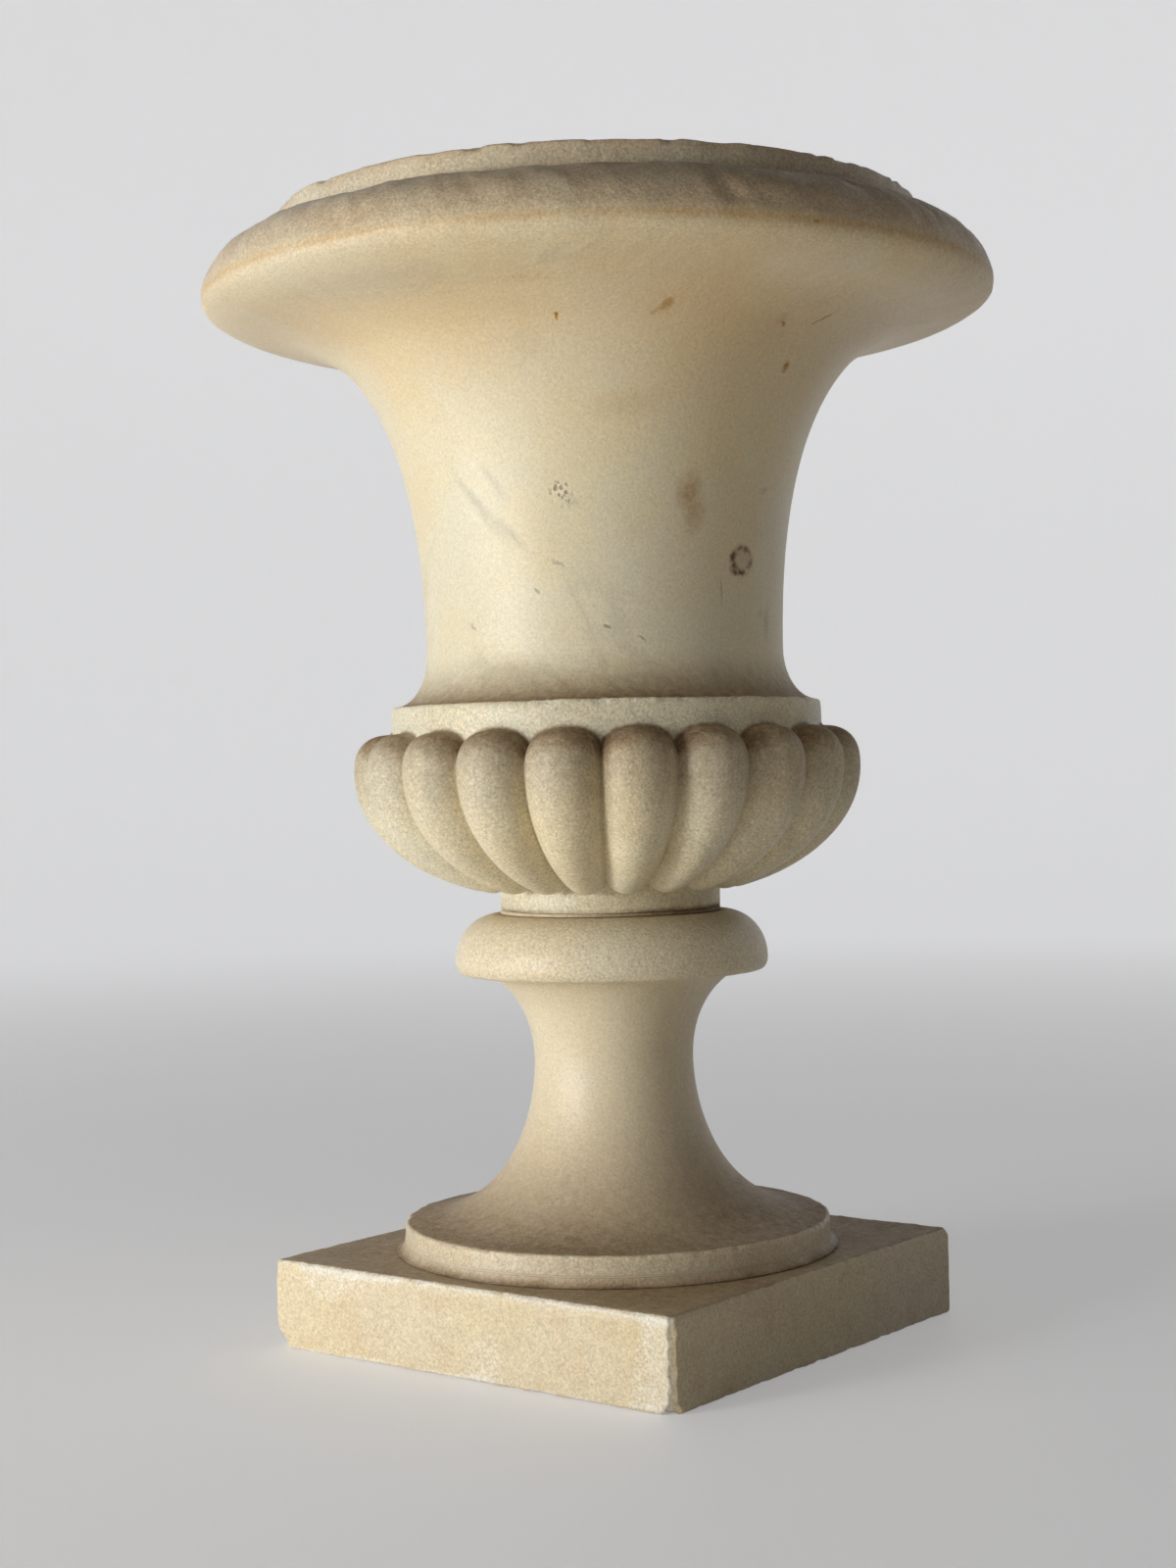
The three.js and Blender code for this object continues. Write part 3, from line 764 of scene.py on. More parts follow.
def socle_profile(sizes):
    """The socle's profile: foot edge, long flare to the waist, short flare to the half-round collar, flat seat."""
    foot = SOCLE_LOW.z
    tip = (sizes.foot_radius - FOOT_ROUND, foot + sizes.foot_edge)
    waist = (sizes.waist_radius, tip[1] + sizes.waist_rise)
    stem = (sizes.stem_radius, waist[1] + sizes.stem_rise)
    belly = stem[1] + sizes.torus_belly
    seat = stem[1] + sizes.torus_height
    under = sizes.torus_radius - UNDER_ROUND
    overhang = sizes.torus_radius - sizes.seat_radius
    parts = {
        "under": (line((HOLE_RADIUS, foot), (sizes.foot_radius - FOOT_EASE, foot)), 6, 0.5, 0.5),
        "foot": (rounded(sizes.foot_radius - FOOT_EASE, foot + FOOT_EASE, FOOT_EASE, -QUARTER, 0), 3, 0.4, 0.3),
        "edge": (line((sizes.foot_radius, foot + FOOT_EASE), (sizes.foot_radius, tip[1] - FOOT_ROUND)), 9, 0.26, 0.08),
        "tip": (rounded(tip[0], tip[1] - FOOT_ROUND, FOOT_ROUND, 0, QUARTER), 4, 0.08, 0.3),
        "flare": (flare(waist, -WAIST_DROP_PULL, tip, FLARE_REACH, -FLARE_SLOPE)[::-1], 38, 0.75, 0.0),
        "stem": (flare(waist, STEM_PULL, stem, 0, 0), 20, 0.06, 0.1),
        "soffit": (line(stem, (under, stem[1])), 6, 0.3, 0.1),
        "under_edge": (arc((under, belly), UNDER_ROUND, sizes.torus_belly, -QUARTER, 0), 7, 0.06, 0.06),
        "torus": (arc((sizes.seat_radius, belly), overhang, seat - belly, 0, QUARTER), 22, 0.0, 0.42),
        "seat": (line((sizes.seat_radius, seat), (HOLE_RADIUS, seat)), 6, 0.7, 0.6),
        "hole": (line((HOLE_RADIUS, seat), (HOLE_RADIUS, foot)), 4, 0.5, 0.5),
    }
    profile, soil = joined(parts.values())
    return profile, soil, first_rows(parts)


class JARDINIERE_OT_socle(bpy.types.Operator):
    """Turns the socle and wears its edges"""

    bl_idname = "jardiniere.socle"
    bl_label = "Socle"

    def execute(self, context):
        settings = context.scene.jardiniere
        stone, wear = settings.stone, settings.stone.wear
        profile, soil, rows = socle_profile(settings.socle)
        points = turned(profile, all_round(SOCLE_COLUMNS))
        weight = TIP_SOFTENING * rows_between(points, rows["tip"] - 2, rows["flare"] + 3)
        points = softened(points, weight, TIP_PASSES)
        tip = near_row(points, rows["tip"] + 2, 2 * MM)
        edge = on_rows(points, rows["edge"], rows["tip"], 2)
        under = near_row(points, rows["under_edge"] + 2, 2.5 * MM)
        shaft = on_rows(points, rows["flare"] + 8, rows["soffit"], 6)
        broad, mid, fine = lumps(points, *SOCLE_LUMPS)
        depth = 0.4 * broad + 0.2 * mid + edge_wear(mid, fine, ((tip, 1.4, 0.8), (edge, 0, 0.9), (under, 0.8, 0.5)))
        depth *= 1 - on_rows(points, rows["under"], rows["edge"] + 4, 1)
        chips = chips_along(points, rows, SOCLE_CHIPS)
        points, cut = chipped(worn(points, wear * depth), chips)
        points = kept_inside(points, SOCLE_LOW, SOCLE_HIGH)
        cloud = lattice_noise(points, 30 * MM, 26)
        masks = {
            "soil": soil[:, None] * (0.85 + 0.3 * cloud),
            "rub": 0.6 * smooth_step(cut, 0.05 * MM, 0.4 * MM)
            + (0.5 * tip + 0.4 * under) * smooth_step(fine, 0.5, 0.8),
            "rust": 0.25 * tip * mid,
            "haze": 0.5 * edge * (0.4 + 0.6 * fine) + 0.35 * on_rows(points, rows["flare"], rows["stem"] - 14, 8),
            "grit": 0.9 - 0.45 * shaft,
        }
        finish = marble("socle_marble", stone, stone.beige, stone.ivory)
        put("marble_socle", points, masks, finish, "marble", "socle")
        return {"FINISHED"}


def square_path(half, corner, columns):
    """Columns spaced evenly round a square with rounded corners.
    Gives for each the centre that its corner turns about, or the same point carried along the side, and the direction
    out of the side. Both are piecewise linear along the path."""
    inner = half - corner
    side, bend = 2 * inner, corner * QUARTER
    knots = np.cumsum([0] + [bend, side] * 4)
    x = [inner, inner, -inner, -inner, -inner, -inner, inner, inner, inner]
    y = [inner, inner, inner, inner, -inner, -inner, -inner, -inner, inner]
    turn = [0, 1, 1, 2, 2, 3, 3, 4, 4]
    along = np.linspace(0, knots[-1], columns, endpoint=False)
    centre = np.stack([np.interp(along, knots, x), np.interp(along, knots, y)], 1)
    facing = np.interp(along, knots, turn) * QUARTER
    return centre, np.stack([np.cos(facing), np.sin(facing)], 1)


def squared(path, corner, stretches):
    """Rows of a square ring. A stretch is (kind, values, rows, soil at start, soil at end).
    The values of a 'side' are (set back from the side, level) and those of a 'round' are (radius, level). The rows of
    a 'face' go between the set-back outline and a circle."""
    centre, facing = path
    azimuth = np.arctan2(*(centre + corner * facing).T[::-1])
    ring = np.stack([np.cos(azimuth), np.sin(azimuth)], 1)
    grids, soils = [], []
    for kind, values, rows, start, end in stretches:
        if kind == "face":
            set_back, radius, level, inward = values
            spacing = FACE_SPACING if inward else 1 / FACE_SPACING
            t = (np.linspace(0, 1, rows, endpoint=False) ** spacing)[:, None, None]
            t = t if inward else 1 - t
            flat = (1 - t) * (centre + (corner - set_back) * facing) + t * radius * ring
            grid = np.concatenate([flat, np.full((*flat.shape[:2], 1), level)], -1)
        else:
            curve = even(values, rows)
            if kind == "side":
                flat = centre + (corner - curve[:, :1, None]) * facing
            else:
                flat = curve[:, :1, None] * ring
            grid = np.concatenate([flat, np.broadcast_to(curve[:, 1:, None], (*flat.shape[:2], 1))], -1)
        grids.append(grid)
        soils.append(np.linspace(start, end, rows, endpoint=False))
    return np.concatenate(grids), np.concatenate(soils)


class JARDINIERE_OT_plinth(bpy.types.Operator):
    """Cuts the square plinth, with chipped arrises, a rod hole and a counterbore"""

    bl_idname = "jardiniere.plinth"
    bl_label = "Plinth"

    def execute(self, context):
        settings = context.scene.jardiniere
        stone, wear, sizes = settings.stone, settings.stone.wear, settings.plinth
        top, edge, corner, half = sizes.thickness, sizes.edge_round, sizes.corner_round, sizes.half_side
        path = square_path(half, corner, PLINTH_COLUMNS)
        bore = (COUNTERBORE_RADIUS, COUNTERBORE_DEPTH)
        hole = (HOLE_RADIUS, COUNTERBORE_DEPTH)
        parts = {
            "bore_floor": ("round", line(hole, bore), 2, 0.5, 0.5),
            "bore": ("round", line(bore, (COUNTERBORE_RADIUS, 0)), 4, 0.5, 0.5),
            "rest": ("face", (edge, COUNTERBORE_RADIUS, 0, False), 14, 0.5, 0.6),
            "low_edge": ("side", arc((edge, edge), -edge, edge, -QUARTER, 0), 4, 0.4, 0.2),
            "side": ("side", line((0, edge), (0, top - edge)), 27, 0.12, 0.03),
            "top_edge": ("side", arc((edge, top - edge), -edge, edge, 0, QUARTER), 5, 0.05, 0.2),
            "top": ("face", (edge, HOLE_RADIUS, top, True), 30, 0.6, 0.75),
            "hole": ("round", line((HOLE_RADIUS, top), hole), 3, 0.5, 0.5),
        }
        points, soil = squared(path, corner, parts.values())
        rows = first_rows(parts)
        high_row, low_row = rows["top_edge"] + 2, rows["low_edge"] + 2
        arrises = near_row(points, high_row, 1.8 * MM) + 0.7 * near_row(points, low_row, 1.8 * MM)
        sides = rows_between(points, rows["side"], rows["top"])
        upper = rows_between(points, rows["top"], rows["hole"])
        bend = np.abs(path[1]).min(1) * math.sqrt(2)
        fade = np.hanning(CORNER_FADE)
        corners = np.convolve(np.tile(bend, 3), fade / fade.sum(), "same")[PLINTH_COLUMNS : 2 * PLINTH_COLUMNS]
        corners = np.clip(corners, 0, 1)[None] * sides
        broad, mid, fine = lumps(points, *PLINTH_LUMPS)
        depth = sides * (0.3 * broad + 0.2 * mid + 0.4 * fine) + upper * (0.4 * mid + 0.3 * fine)
        depth += edge_wear(mid, fine, ((arrises, 1.8, 1.6),))
        depth *= 1 - 0.7 * corners
        chips = chips_along(points, rows, PLINTH_CHIPS)
        points, cut = chipped(worn(points, wear * depth), chips)
        blows = []
        for x, y, level, lean, size, sink in CORNER_BLOWS:
            aim = np.array([x, y, lean]) / math.hypot(x, y, lean)
            blows.append((np.array([x * half, y * half, level * MM]) + aim * (size - sink) * MM, size * MM))
        points, _ = chipped(points, blows)
        points = kept_inside(points, PLINTH_LOW, PLINTH_HIGH)
        cloud = lattice_noise(points, 30 * MM, 36)
        crust = smooth_step(lattice_noise(points, 3 * MM, 37), 0.3, 0.8)
        # Partly painted highlight: the rub is real wear on chips and arrises, scaled up by lit on the faces towards the
        # key lamp, where it also paints pale patches.
        lit = 0.3 + 0.7 * np.clip(-path[1][:, 1], 0, 1)
        masks = {
            "soil": soil[:, None] * (0.8 + 0.4 * cloud),
            "rub": 0.6 * lit * smooth_step(cut, 0.05 * MM, 0.5 * MM)
            + 0.6 * lit * sides * smooth_step(broad, 0.4, 0.7)
            + lit * (arrises + 0.4 * corners) * (0.6 + 0.6 * smooth_step(mid, 0.25, 0.6)),
            "rust": 0.25 * sides * smooth_step(mid, 0.5, 0.95),
            "haze": 0.35 * sides * crust * cloud + 0.4 * upper,
            "grit": 0.8,
        }
        finish = marble("plinth_marble", stone, stone.beige, stone.cream)
        put("marble_plinth", points, masks, finish, "marble", "plinth")
        return {"FINISHED"}


class JARDINIERE_OT_mortar(bpy.types.Operator):
    """Points the two mortar beds, with the hollow cove round the foot"""

    bl_idname = "jardiniere.mortar"
    bl_label = "Mortar beds"

    def execute(self, context):
        settings = context.scene.jardiniere
        finish = marble("lime_mortar", settings.stone, settings.stone.mortar, settings.stone.haze)
        azimuth = all_round(MORTAR_COLUMNS)
        low, out, crown = COVE_LOW.z, COVE_HIGH.x, COVE_HIGH.z
        bed, foot = crown - COVE_SIZE, settings.socle.foot_radius
        inner = foot - TUCK
        cove, soil = joined(
            [
                (line((HOLE_RADIUS, low), (out, low)), 8, 0.6, 0.75),
                (arc((out, crown), out - foot, crown - low - COVE_BLUNT, 3 * QUARTER, 2 * QUARTER), 16, 0.75, 0.16),
                (line((foot, crown), (inner, crown), (inner, bed)), 6, 0.16, 0.3),
                (line((inner, bed), (HOLE_RADIUS, bed)), 6, 0.5, 0.5),
                (line((HOLE_RADIUS, bed), (HOLE_RADIUS, low)), 2, 0.5, 0.5),
            ]
        )
        points = turned(cove, azimuth)
        shows = rows_between(points, *COVE_ROWS)
        rough = lattice_noise(points, 5 * MM, 41) + 0.6 * lattice_noise(points, 1.8 * MM, 42)
        masks = {
            "soil": soil[:, None] * (0.7 + 0.6 * lattice_noise(points, 9 * MM, 44)),
            "haze": 0.3 * shows,
            "grit": 0.9 * shows,
        }
        points = kept_inside(worn(points, COVE_ROUGHNESS * shows * rough), COVE_LOW, COVE_HIGH)
        put("foot_mortar", points, masks, finish, "mortar", "plinth_bed")
        low, high, out = JOINT_LOW.z, JOINT_HIGH.z, settings.bowl.neck_radius - SEAM_SET_BACK
        seam, _ = joined(
            [
                (line((HOLE_RADIUS, low), (out - SEAM_STRIP, low), (out, low)), 8, 0, 0),
                (line((out, low), (out, high)), 5, 0, 0),
                (line((out, high), (out - SEAM_STRIP, high), (HOLE_RADIUS, high)), 8, 0, 0),
                (line((HOLE_RADIUS, high), (HOLE_RADIUS, low)), 2, 0, 0),
            ]
        )
        points = turned(seam, azimuth)
        depth = SEAM_ROUGHNESS * near_row(points, SEAM_ROW, 1.5 * MM) * lattice_noise(points, 4 * MM, 43)
        # Painted shade: the seam's soil runs from 0.07 to 0.77 round the neck, highest on the side away from the lamps
        masks = {"soil": 0.42 + 0.35 * np.cos(azimuth - SEAM_SHADED_SIDE), "haze": 0.4, "grit": 0.8}
        put("neck_mortar", worn(points, depth), masks, finish, "mortar", "bowl_bed")
        return {"FINISHED"}


def eased_ring(inner, outer, low, high, ease):
    """Profile of a flat ring whose outer edges are eased."""
    profile, _ = joined(
        [
            (line((inner, low), (outer - ease, low)), 6, 0, 0),
            (rounded(outer - ease, low + ease, ease, -QUARTER, 0), 4, 0, 0),
            (line((outer, low + ease), (outer, high - ease)), 4, 0, 0),
            (rounded(outer - ease, high - ease, ease, 0, QUARTER), 4, 0, 0),
            (line((outer - ease, high), (inner, high)), 6, 0, 0),
            (line((inner, high), (inner, low)), 4, 0, 0),
        ]
    )
    return profile


class JARDINIERE_OT_fittings(bpy.types.Operator):
    """Forges the tie rod with its threads, and the nuts, washers and lead pads at its ends"""

    bl_idname = "jardiniere.fittings"
    bl_label = "Iron and lead fittings"

    def execute(self, context):
        settings = context.scene.jardiniere.iron
        iron, lead = wrought_iron(settings), lead_sheet(settings)
        azimuth = all_round(FITTING_COLUMNS)
        for end in ("bowl", "plinth"):
            for part, finish, slot, ease, dent in (
                ("lead_pad", lead, "lead", PAD_EASE, PAD_DENTS),
                ("washer", iron, "iron", WASHER_EASE, IRON_DENTS),
            ):
                node = f"{end}_{part}"
                low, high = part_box(node)
                points = turned(eased_ring(BORE_RADIUS, high.x, low.z, high.z, ease), azimuth)
                depth = dent * lattice_noise(points, 6 * MM, 51) * near_row(points, RING_ROW, 4 * MM)
                put(f"{node}_forged", kept_inside(worn(points, depth), low, high), {}, finish, slot, node)
            self.nut(f"{end}_nut", iron)
        self.rod(settings.thread_pitch, iron)
        return {"FINISHED"}

    def nut(self, node, finish):
        """A square nut: the outline of a square with eased corners, chamfered towards its top and bottom faces."""
        low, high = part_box(node)
        ease = NUT_EASE
        stretches = [
            ("round", line((BORE_RADIUS, high.z), (BORE_RADIUS, low.z)), 4, 0, 0),
            ("face", (ease, BORE_RADIUS, low.z, False), 6, 0, 0),
            ("side", arc((ease, low.z + ease), -ease, ease, -QUARTER, 0), 4, 0, 0),
            ("side", line((0, low.z + ease), (0, high.z - ease)), 6, 0, 0),
            ("side", arc((ease, high.z - ease), -ease, ease, 0, QUARTER), 4, 0, 0),
            ("face", (ease, BORE_RADIUS, high.z, True), 6, 0, 0),
        ]
        points, _ = squared(square_path(high.x, NUT_CORNER, NUT_COLUMNS), NUT_CORNER, stretches)
        points = worn(points, IRON_DENTS * lattice_noise(points, 5 * MM, 52))
        put(f"{node}_forged", kept_inside(points, low, high), {}, finish, "iron", node)

    def rod(self, pitch, finish):
        """The rod: a cylinder whose ends carry a thread, a cosine groove that climbs one pitch for each turn."""
        low, high, radius = ROD_LOW.z, ROD_HIGH.z, ROD_HIGH.x
        upper, lower = high - THREAD_LENGTH, low + THREAD_LENGTH
        levels = np.concatenate(
            [
                np.linspace(low, lower, THREAD_ROWS, endpoint=False),
                np.linspace(lower, upper, SHANK_ROWS, endpoint=False),
                np.linspace(upper, high, THREAD_ROWS + 1),
            ]
        )[:, None]
        azimuth = all_round(ROD_COLUMNS)
        reach = np.minimum(levels - low, high - levels)
        cut = THREAD_DEPTH * (1 - smooth_step(reach, *THREAD_FADE))
        groove = 0.5 + 0.5 * np.cos(2 * math.pi * levels / pitch - azimuth)
        radii = radius - cut * groove - POINT_DEPTH * (1 - smooth_step(reach, 0, POINT_LENGTH))
        points = polar(radii, azimuth, levels)
        points = np.concatenate([points[:1] * ROD_CENTRE, points, points[-1:] * ROD_CENTRE])
        put("iron_rod", points, {}, finish, "iron", "tie_rod")


# Finishes


# Sizes of the marble's patterns: clouds and how they are pushed about, veins, specks, patches of gloss, depth of bump
CLOUD_SIZE = 55 * MM
WARP_SIZE = 9 * MM
WARP_REACH = 5 * MM
VEIN_TURN = (0.5, 0.7, 0.2)
VEIN_STRETCH = (60 * MM, 22 * MM, 60 * MM)
VEIN_PATCHES = 70 * MM
SPECK_SIZE = 3.2 * MM
GLOSS_SIZE = 30 * MM
MARBLE_BUMP = 0.3 * MM

# What doesn't change over the marble
MARBLE_BODY = {
    "Subsurface_Weight": 0.14,
    "Subsurface_Radius": (1.0, 0.75, 0.5),
    "Subsurface_Scale": 4 * MM,
    "IOR": 1.5,
    "Specular_IOR_Level": 0.36,
}

# How far a mark on the bell reaches into the stone, and how its outline is pushed about
MARK_DEPTH = 7 * MM
MARK_WARP_SIZE = 2.5 * MM
MARK_WARP_REACH = 1.8 * MM


class Value:
    """A shader socket that can stand in a sum: each operator adds one Math node."""

    def __init__(self, finish, socket):
        self.finish, self.socket = finish, socket

    def math(self, operation, *terms):
        return self.finish.node("ShaderNodeMath", {"operation": operation}, dict(enumerate(terms)))

    def __add__(self, other):
        return self.math("ADD", self, other)

    def __sub__(self, other):
        return self.math("SUBTRACT", self, other)

    def __rsub__(self, other):
        return self.math("SUBTRACT", other, self)

    def __mul__(self, other):
        return self.math("MULTIPLY", self, other)

    def __abs__(self):
        return self.math("ABSOLUTE", self)

    __radd__, __rmul__ = __add__, __mul__


class Finish:
    """One material, and the patterns that its nodes are made of."""

    def __init__(self, name):
        self.material = bpy.data.materials.new(name)
        self.material.use_nodes = True
        self.tree = self.material.node_tree
        self.tree.nodes.clear()
        self.place = self.node("ShaderNodeTexCoord", {}, {}, "Object")

    def node(self, kind, settings, inputs, output=0):
        """Adds a node: its settings are set first, then the values or links of its sockets."""
        made = self.tree.nodes.new(kind)
        for key, value in settings.items():
            setattr(made, key, value)
        for key, value in inputs.items():
            if isinstance(value, Value):
                self.tree.links.new(value.socket, made.inputs[key])
            else:
                made.inputs[key].default_value = value
        return Value(self, made.outputs[output]) if made.outputs else None

    def mask(self, name):
        """A mask that the mesh carries."""
        return self.node("ShaderNodeAttribute", {"attribute_name": name}, {}, "Fac")

    def noise(self, size, detail, place=None, rough=0.55):
        """Noise whose patches are about as large as size."""
        inputs = {"Vector": place or self.place, "Scale": 1 / size, "Detail": detail, "Roughness": rough}
        return self.node("ShaderNodeTexNoise", {}, inputs)

    def cells(self, size, output="Distance"):
        """Distances in, or random colours of, cells of about that size."""
        return self.node("ShaderNodeTexVoronoi", {}, {"Vector": self.place, "Scale": 1 / size}, output)

    def step(self, value, low, high):
        """0 below low and 1 above high, smooth between them."""
        inputs = {"Value": value, "From Min": low, "From Max": high}
        return self.node("ShaderNodeMapRange", {"interpolation_type": "SMOOTHSTEP"}, inputs)

    def mix(self, factor, first, second):
        """A blend of two colours."""
        colours = [c if isinstance(c, Value) else (*c, 1) for c in (first, second)]
        return self.node("ShaderNodeMix", {"data_type": "RGBA"}, {0: factor, 6: colours[0], 7: colours[1]}, 2)

    def darkened(self, colour, factor):
        """A colour times a number that changes over the surface."""
        grey = self.node("ShaderNodeCombineColor", {}, {0: factor, 1: factor, 2: factor})
        settings = {"data_type": "RGBA", "blend_type": "MULTIPLY"}
        return self.node("ShaderNodeMix", settings, {0: 1.0, 6: colour, 7: grey}, 2)

    def warped(self, size, reach):
        """The place, pushed about by noise of that size."""
        push = self.node("ShaderNodeTexNoise", {}, {"Vector": self.place, "Scale": 1 / size, "Detail": 2}, "Color")
        centred = self.node("ShaderNodeVectorMath", {"operation": "SUBTRACT"}, {0: push, 1: (0.5, 0.5, 0.5)})
        settings, inputs = {"operation": "MULTIPLY_ADD"}, {0: centred, 1: (reach,) * 3, 2: self.place}
        return self.node("ShaderNodeVectorMath", settings, inputs)

    def distance(self, spot):
        """How far each place is from a spot."""
        return self.node("ShaderNodeVectorMath", {"operation": "DISTANCE"}, {0: self.place, 1: spot}, "Value")

    def mapped(self, place, location, rotation, scale):
        """A place seen in a turned and stretched frame of its own."""
        inputs = {"Vector": place, "Location": location, "Rotation": rotation, "Scale": scale}
        return self.node("ShaderNodeMapping", {"vector_type": "TEXTURE"}, inputs)

    def mark(self, place, azimuth, radius, height, across, up, tilt):
        """How far out a place is from the middle of an oval mark on the turned stone, where 1 is the mark's edge."""
        turn = math.radians(azimuth)
        spot = (radius * MM * math.cos(turn), radius * MM * math.sin(turn), height * MM)
        local = self.mapped(place, spot, (math.radians(tilt), 0, turn), (MARK_DEPTH, across * MM, up * MM))
        return self.node("ShaderNodeVectorMath", {"operation": "LENGTH"}, {0: local}, "Value")

    def done(self, colour, roughness, height, distance, **fixed):
        """Joins colour, roughness and bump to the surface. What is fixed is set on the shader's own sockets."""
        bump = self.node("ShaderNodeBump", {}, {"Height": height, "Distance": distance, "Strength": 1.0})
        inputs = {"Base Color": colour, "Roughness": roughness, "Normal": bump}
        inputs.update({key.replace("_", " "): value for key, value in fixed.items()})
        shader = self.node("ShaderNodeBsdfPrincipled", {}, inputs)
        self.node("ShaderNodeOutputMaterial", {}, {"Surface": shader})
        return self.material


# Marks on the bell: azimuth in degrees, radius and height in mm, half width and half height in mm, tilt in degrees,
# strength, and how much of the mark is soft edge
BROWN_MARKS = (
    (-27.0, 66.6, 287.5, 6.0, 9.5, -10, 0.5, 0.95),
    (-26.6, 66.4, 286.5, 2.8, 6.5, -14, 0.28, 1.0),
    (-24.8, 65.0, 279.5, 5.0, 9.0, -14, 0.42, 0.95),
    (-14.3, 63.0, 255.6, 0.5, 6.0, 4, 0.5, 0.8),
    (-39.1, 93.8, 342.9, 2.8, 2.0, 24, 0.7, 0.7),
    (-41.2, 92.0, 341.1, 3.4, 0.8, 36, 0.45, 0.8),
    (-12.2, 91.9, 341.3, 3.0, 2.6, 0, 0.28, 0.9),
    (-11.0, 91.0, 340.2, 1.5, 0.6, -30, 0.75, 0.6),
    (-1.4, 94.0, 343.0, 4.4, 0.5, 38, 0.7, 0.6),
    (-3.0, 80.9, 328.4, 2.2, 2.4, 0, 0.7, 0.8),
    (-60.7, 90.7, 340.3, 0.6, 1.7, -20, 0.85, 0.5),
    (-45.6, 73.9, 314.5, 17.0, 7.0, 6, 0.15, 0.98),
    (-64.5, 108.0, 349.8, 9.0, 3.0, 0, 0.15, 0.95),
    (-23.6, 137.0, 361.0, 1.6, 0.7, 0, 0.6, 0.7),
    (118.0, 66.0, 286.0, 5.0, 9.0, 12, 0.4, 0.9),
    (171.0, 80.0, 327.0, 3.0, 2.4, 0, 0.6, 0.7),
)
GREY_MARKS = (
    (-51.6, 62.6, 243.6, 1.8, 0.6, -18, 0.95, 0.6),
    (-72.8, 63.0, 256.2, 1.7, 0.6, -50, 0.7, 0.7),
    (-96.7, 62.7, 245.6, 3.2, 0.8, -40, 0.55, 0.8),
    (-65.7, 63.6, 264.7, 3.4, 0.8, -25, 0.5, 0.8),
    (-41.3, 62.6, 239.5, 2.6, 0.5, -35, 0.55, 0.7),
    (-88.0, 65.0, 281.0, 18.0, 3.2, -50, 0.24, 1.0),
    (-93.0, 66.5, 289.0, 14.0, 2.4, -48, 0.24, 1.0),
    (-80.0, 64.4, 275.0, 15.0, 2.8, -46, 0.28, 1.0),
    (-84.0, 67.4, 292.0, 10.0, 2.6, -55, 0.25, 1.0),
    (9.0, 62.6, 246.0, 3.2, 8.0, -4, 0.4, 1.0),
    (5.0, 62.6, 249.0, 2.4, 4.0, -8, 0.3, 1.0),
    (2.4, 66.9, 289.8, 3.2, 1.2, 20, 0.3, 0.9),
    (-61.6, 66.0, 285.0, 3.8, 2.8, -20, 0.34, 1.0),
)
RING_MARK = (-5.8, 63.6, 265.9, 5.4, 4.9, 0)
RING_BLOTS = (
    (-9.2, 63.4, 262.8, 2.9, 2.4, 20),
    (-9.8, 63.6, 267.4, 1.5, 2.2, -20),
    (-6.8, 63.5, 261.6, 2.6, 1.0, 10),
)
PIT_MARK = (-63.8, 66.4, 287.3, 4.0, 4.4, 0)


def bell_marks(f, colour, speck, stone):
    """Stains, scratches, a broken ring and a pitted bruise on the bell. Gives the colour and the pits."""
    close = f.warped(MARK_WARP_SIZE, MARK_WARP_REACH)
    for tone, marks in ((stone.stain, BROWN_MARKS), (stone.vein, GREY_MARKS)):
        for *place, strength, soft in marks:
            gap = f.mark(close, *place)
            colour = f.mix((1 - f.step(gap, 1 - soft, 1.1)) * strength * (2.4 * speck - 0.2), colour, tone)
    gap = f.mark(close, *RING_MARK)
    ring = f.step(gap, 0.45, 0.85) * (1 - f.step(gap, 0.85, 1.25)) * f.step(f.noise(3 * MM, 1), 0.3, 0.65)
    stained = 0.24 * (1 - f.step(gap, 0.6, 1.4)) + 0.65 * ring
    for blot in RING_BLOTS:
        stained = stained + 0.5 * (1 - f.step(f.mark(close, *blot), 0.2, 1.2))
    colour = f.mix(stained * (0.5 + speck), colour, stone.burn)
    bruise = 1 - f.step(f.mark(close, *PIT_MARK), 0.5, 1.2)
    pits = bruise * (1 - f.step(f.cells(1.6 * MM), 0.25, 0.55))
    colour = f.mix(bruise * f.step(f.noise(1.4 * MM, 2), 0.45, 0.6) * 0.5, colour, stone.fresh)
    return f.mix(pits * 0.6, colour, stone.patina), pits


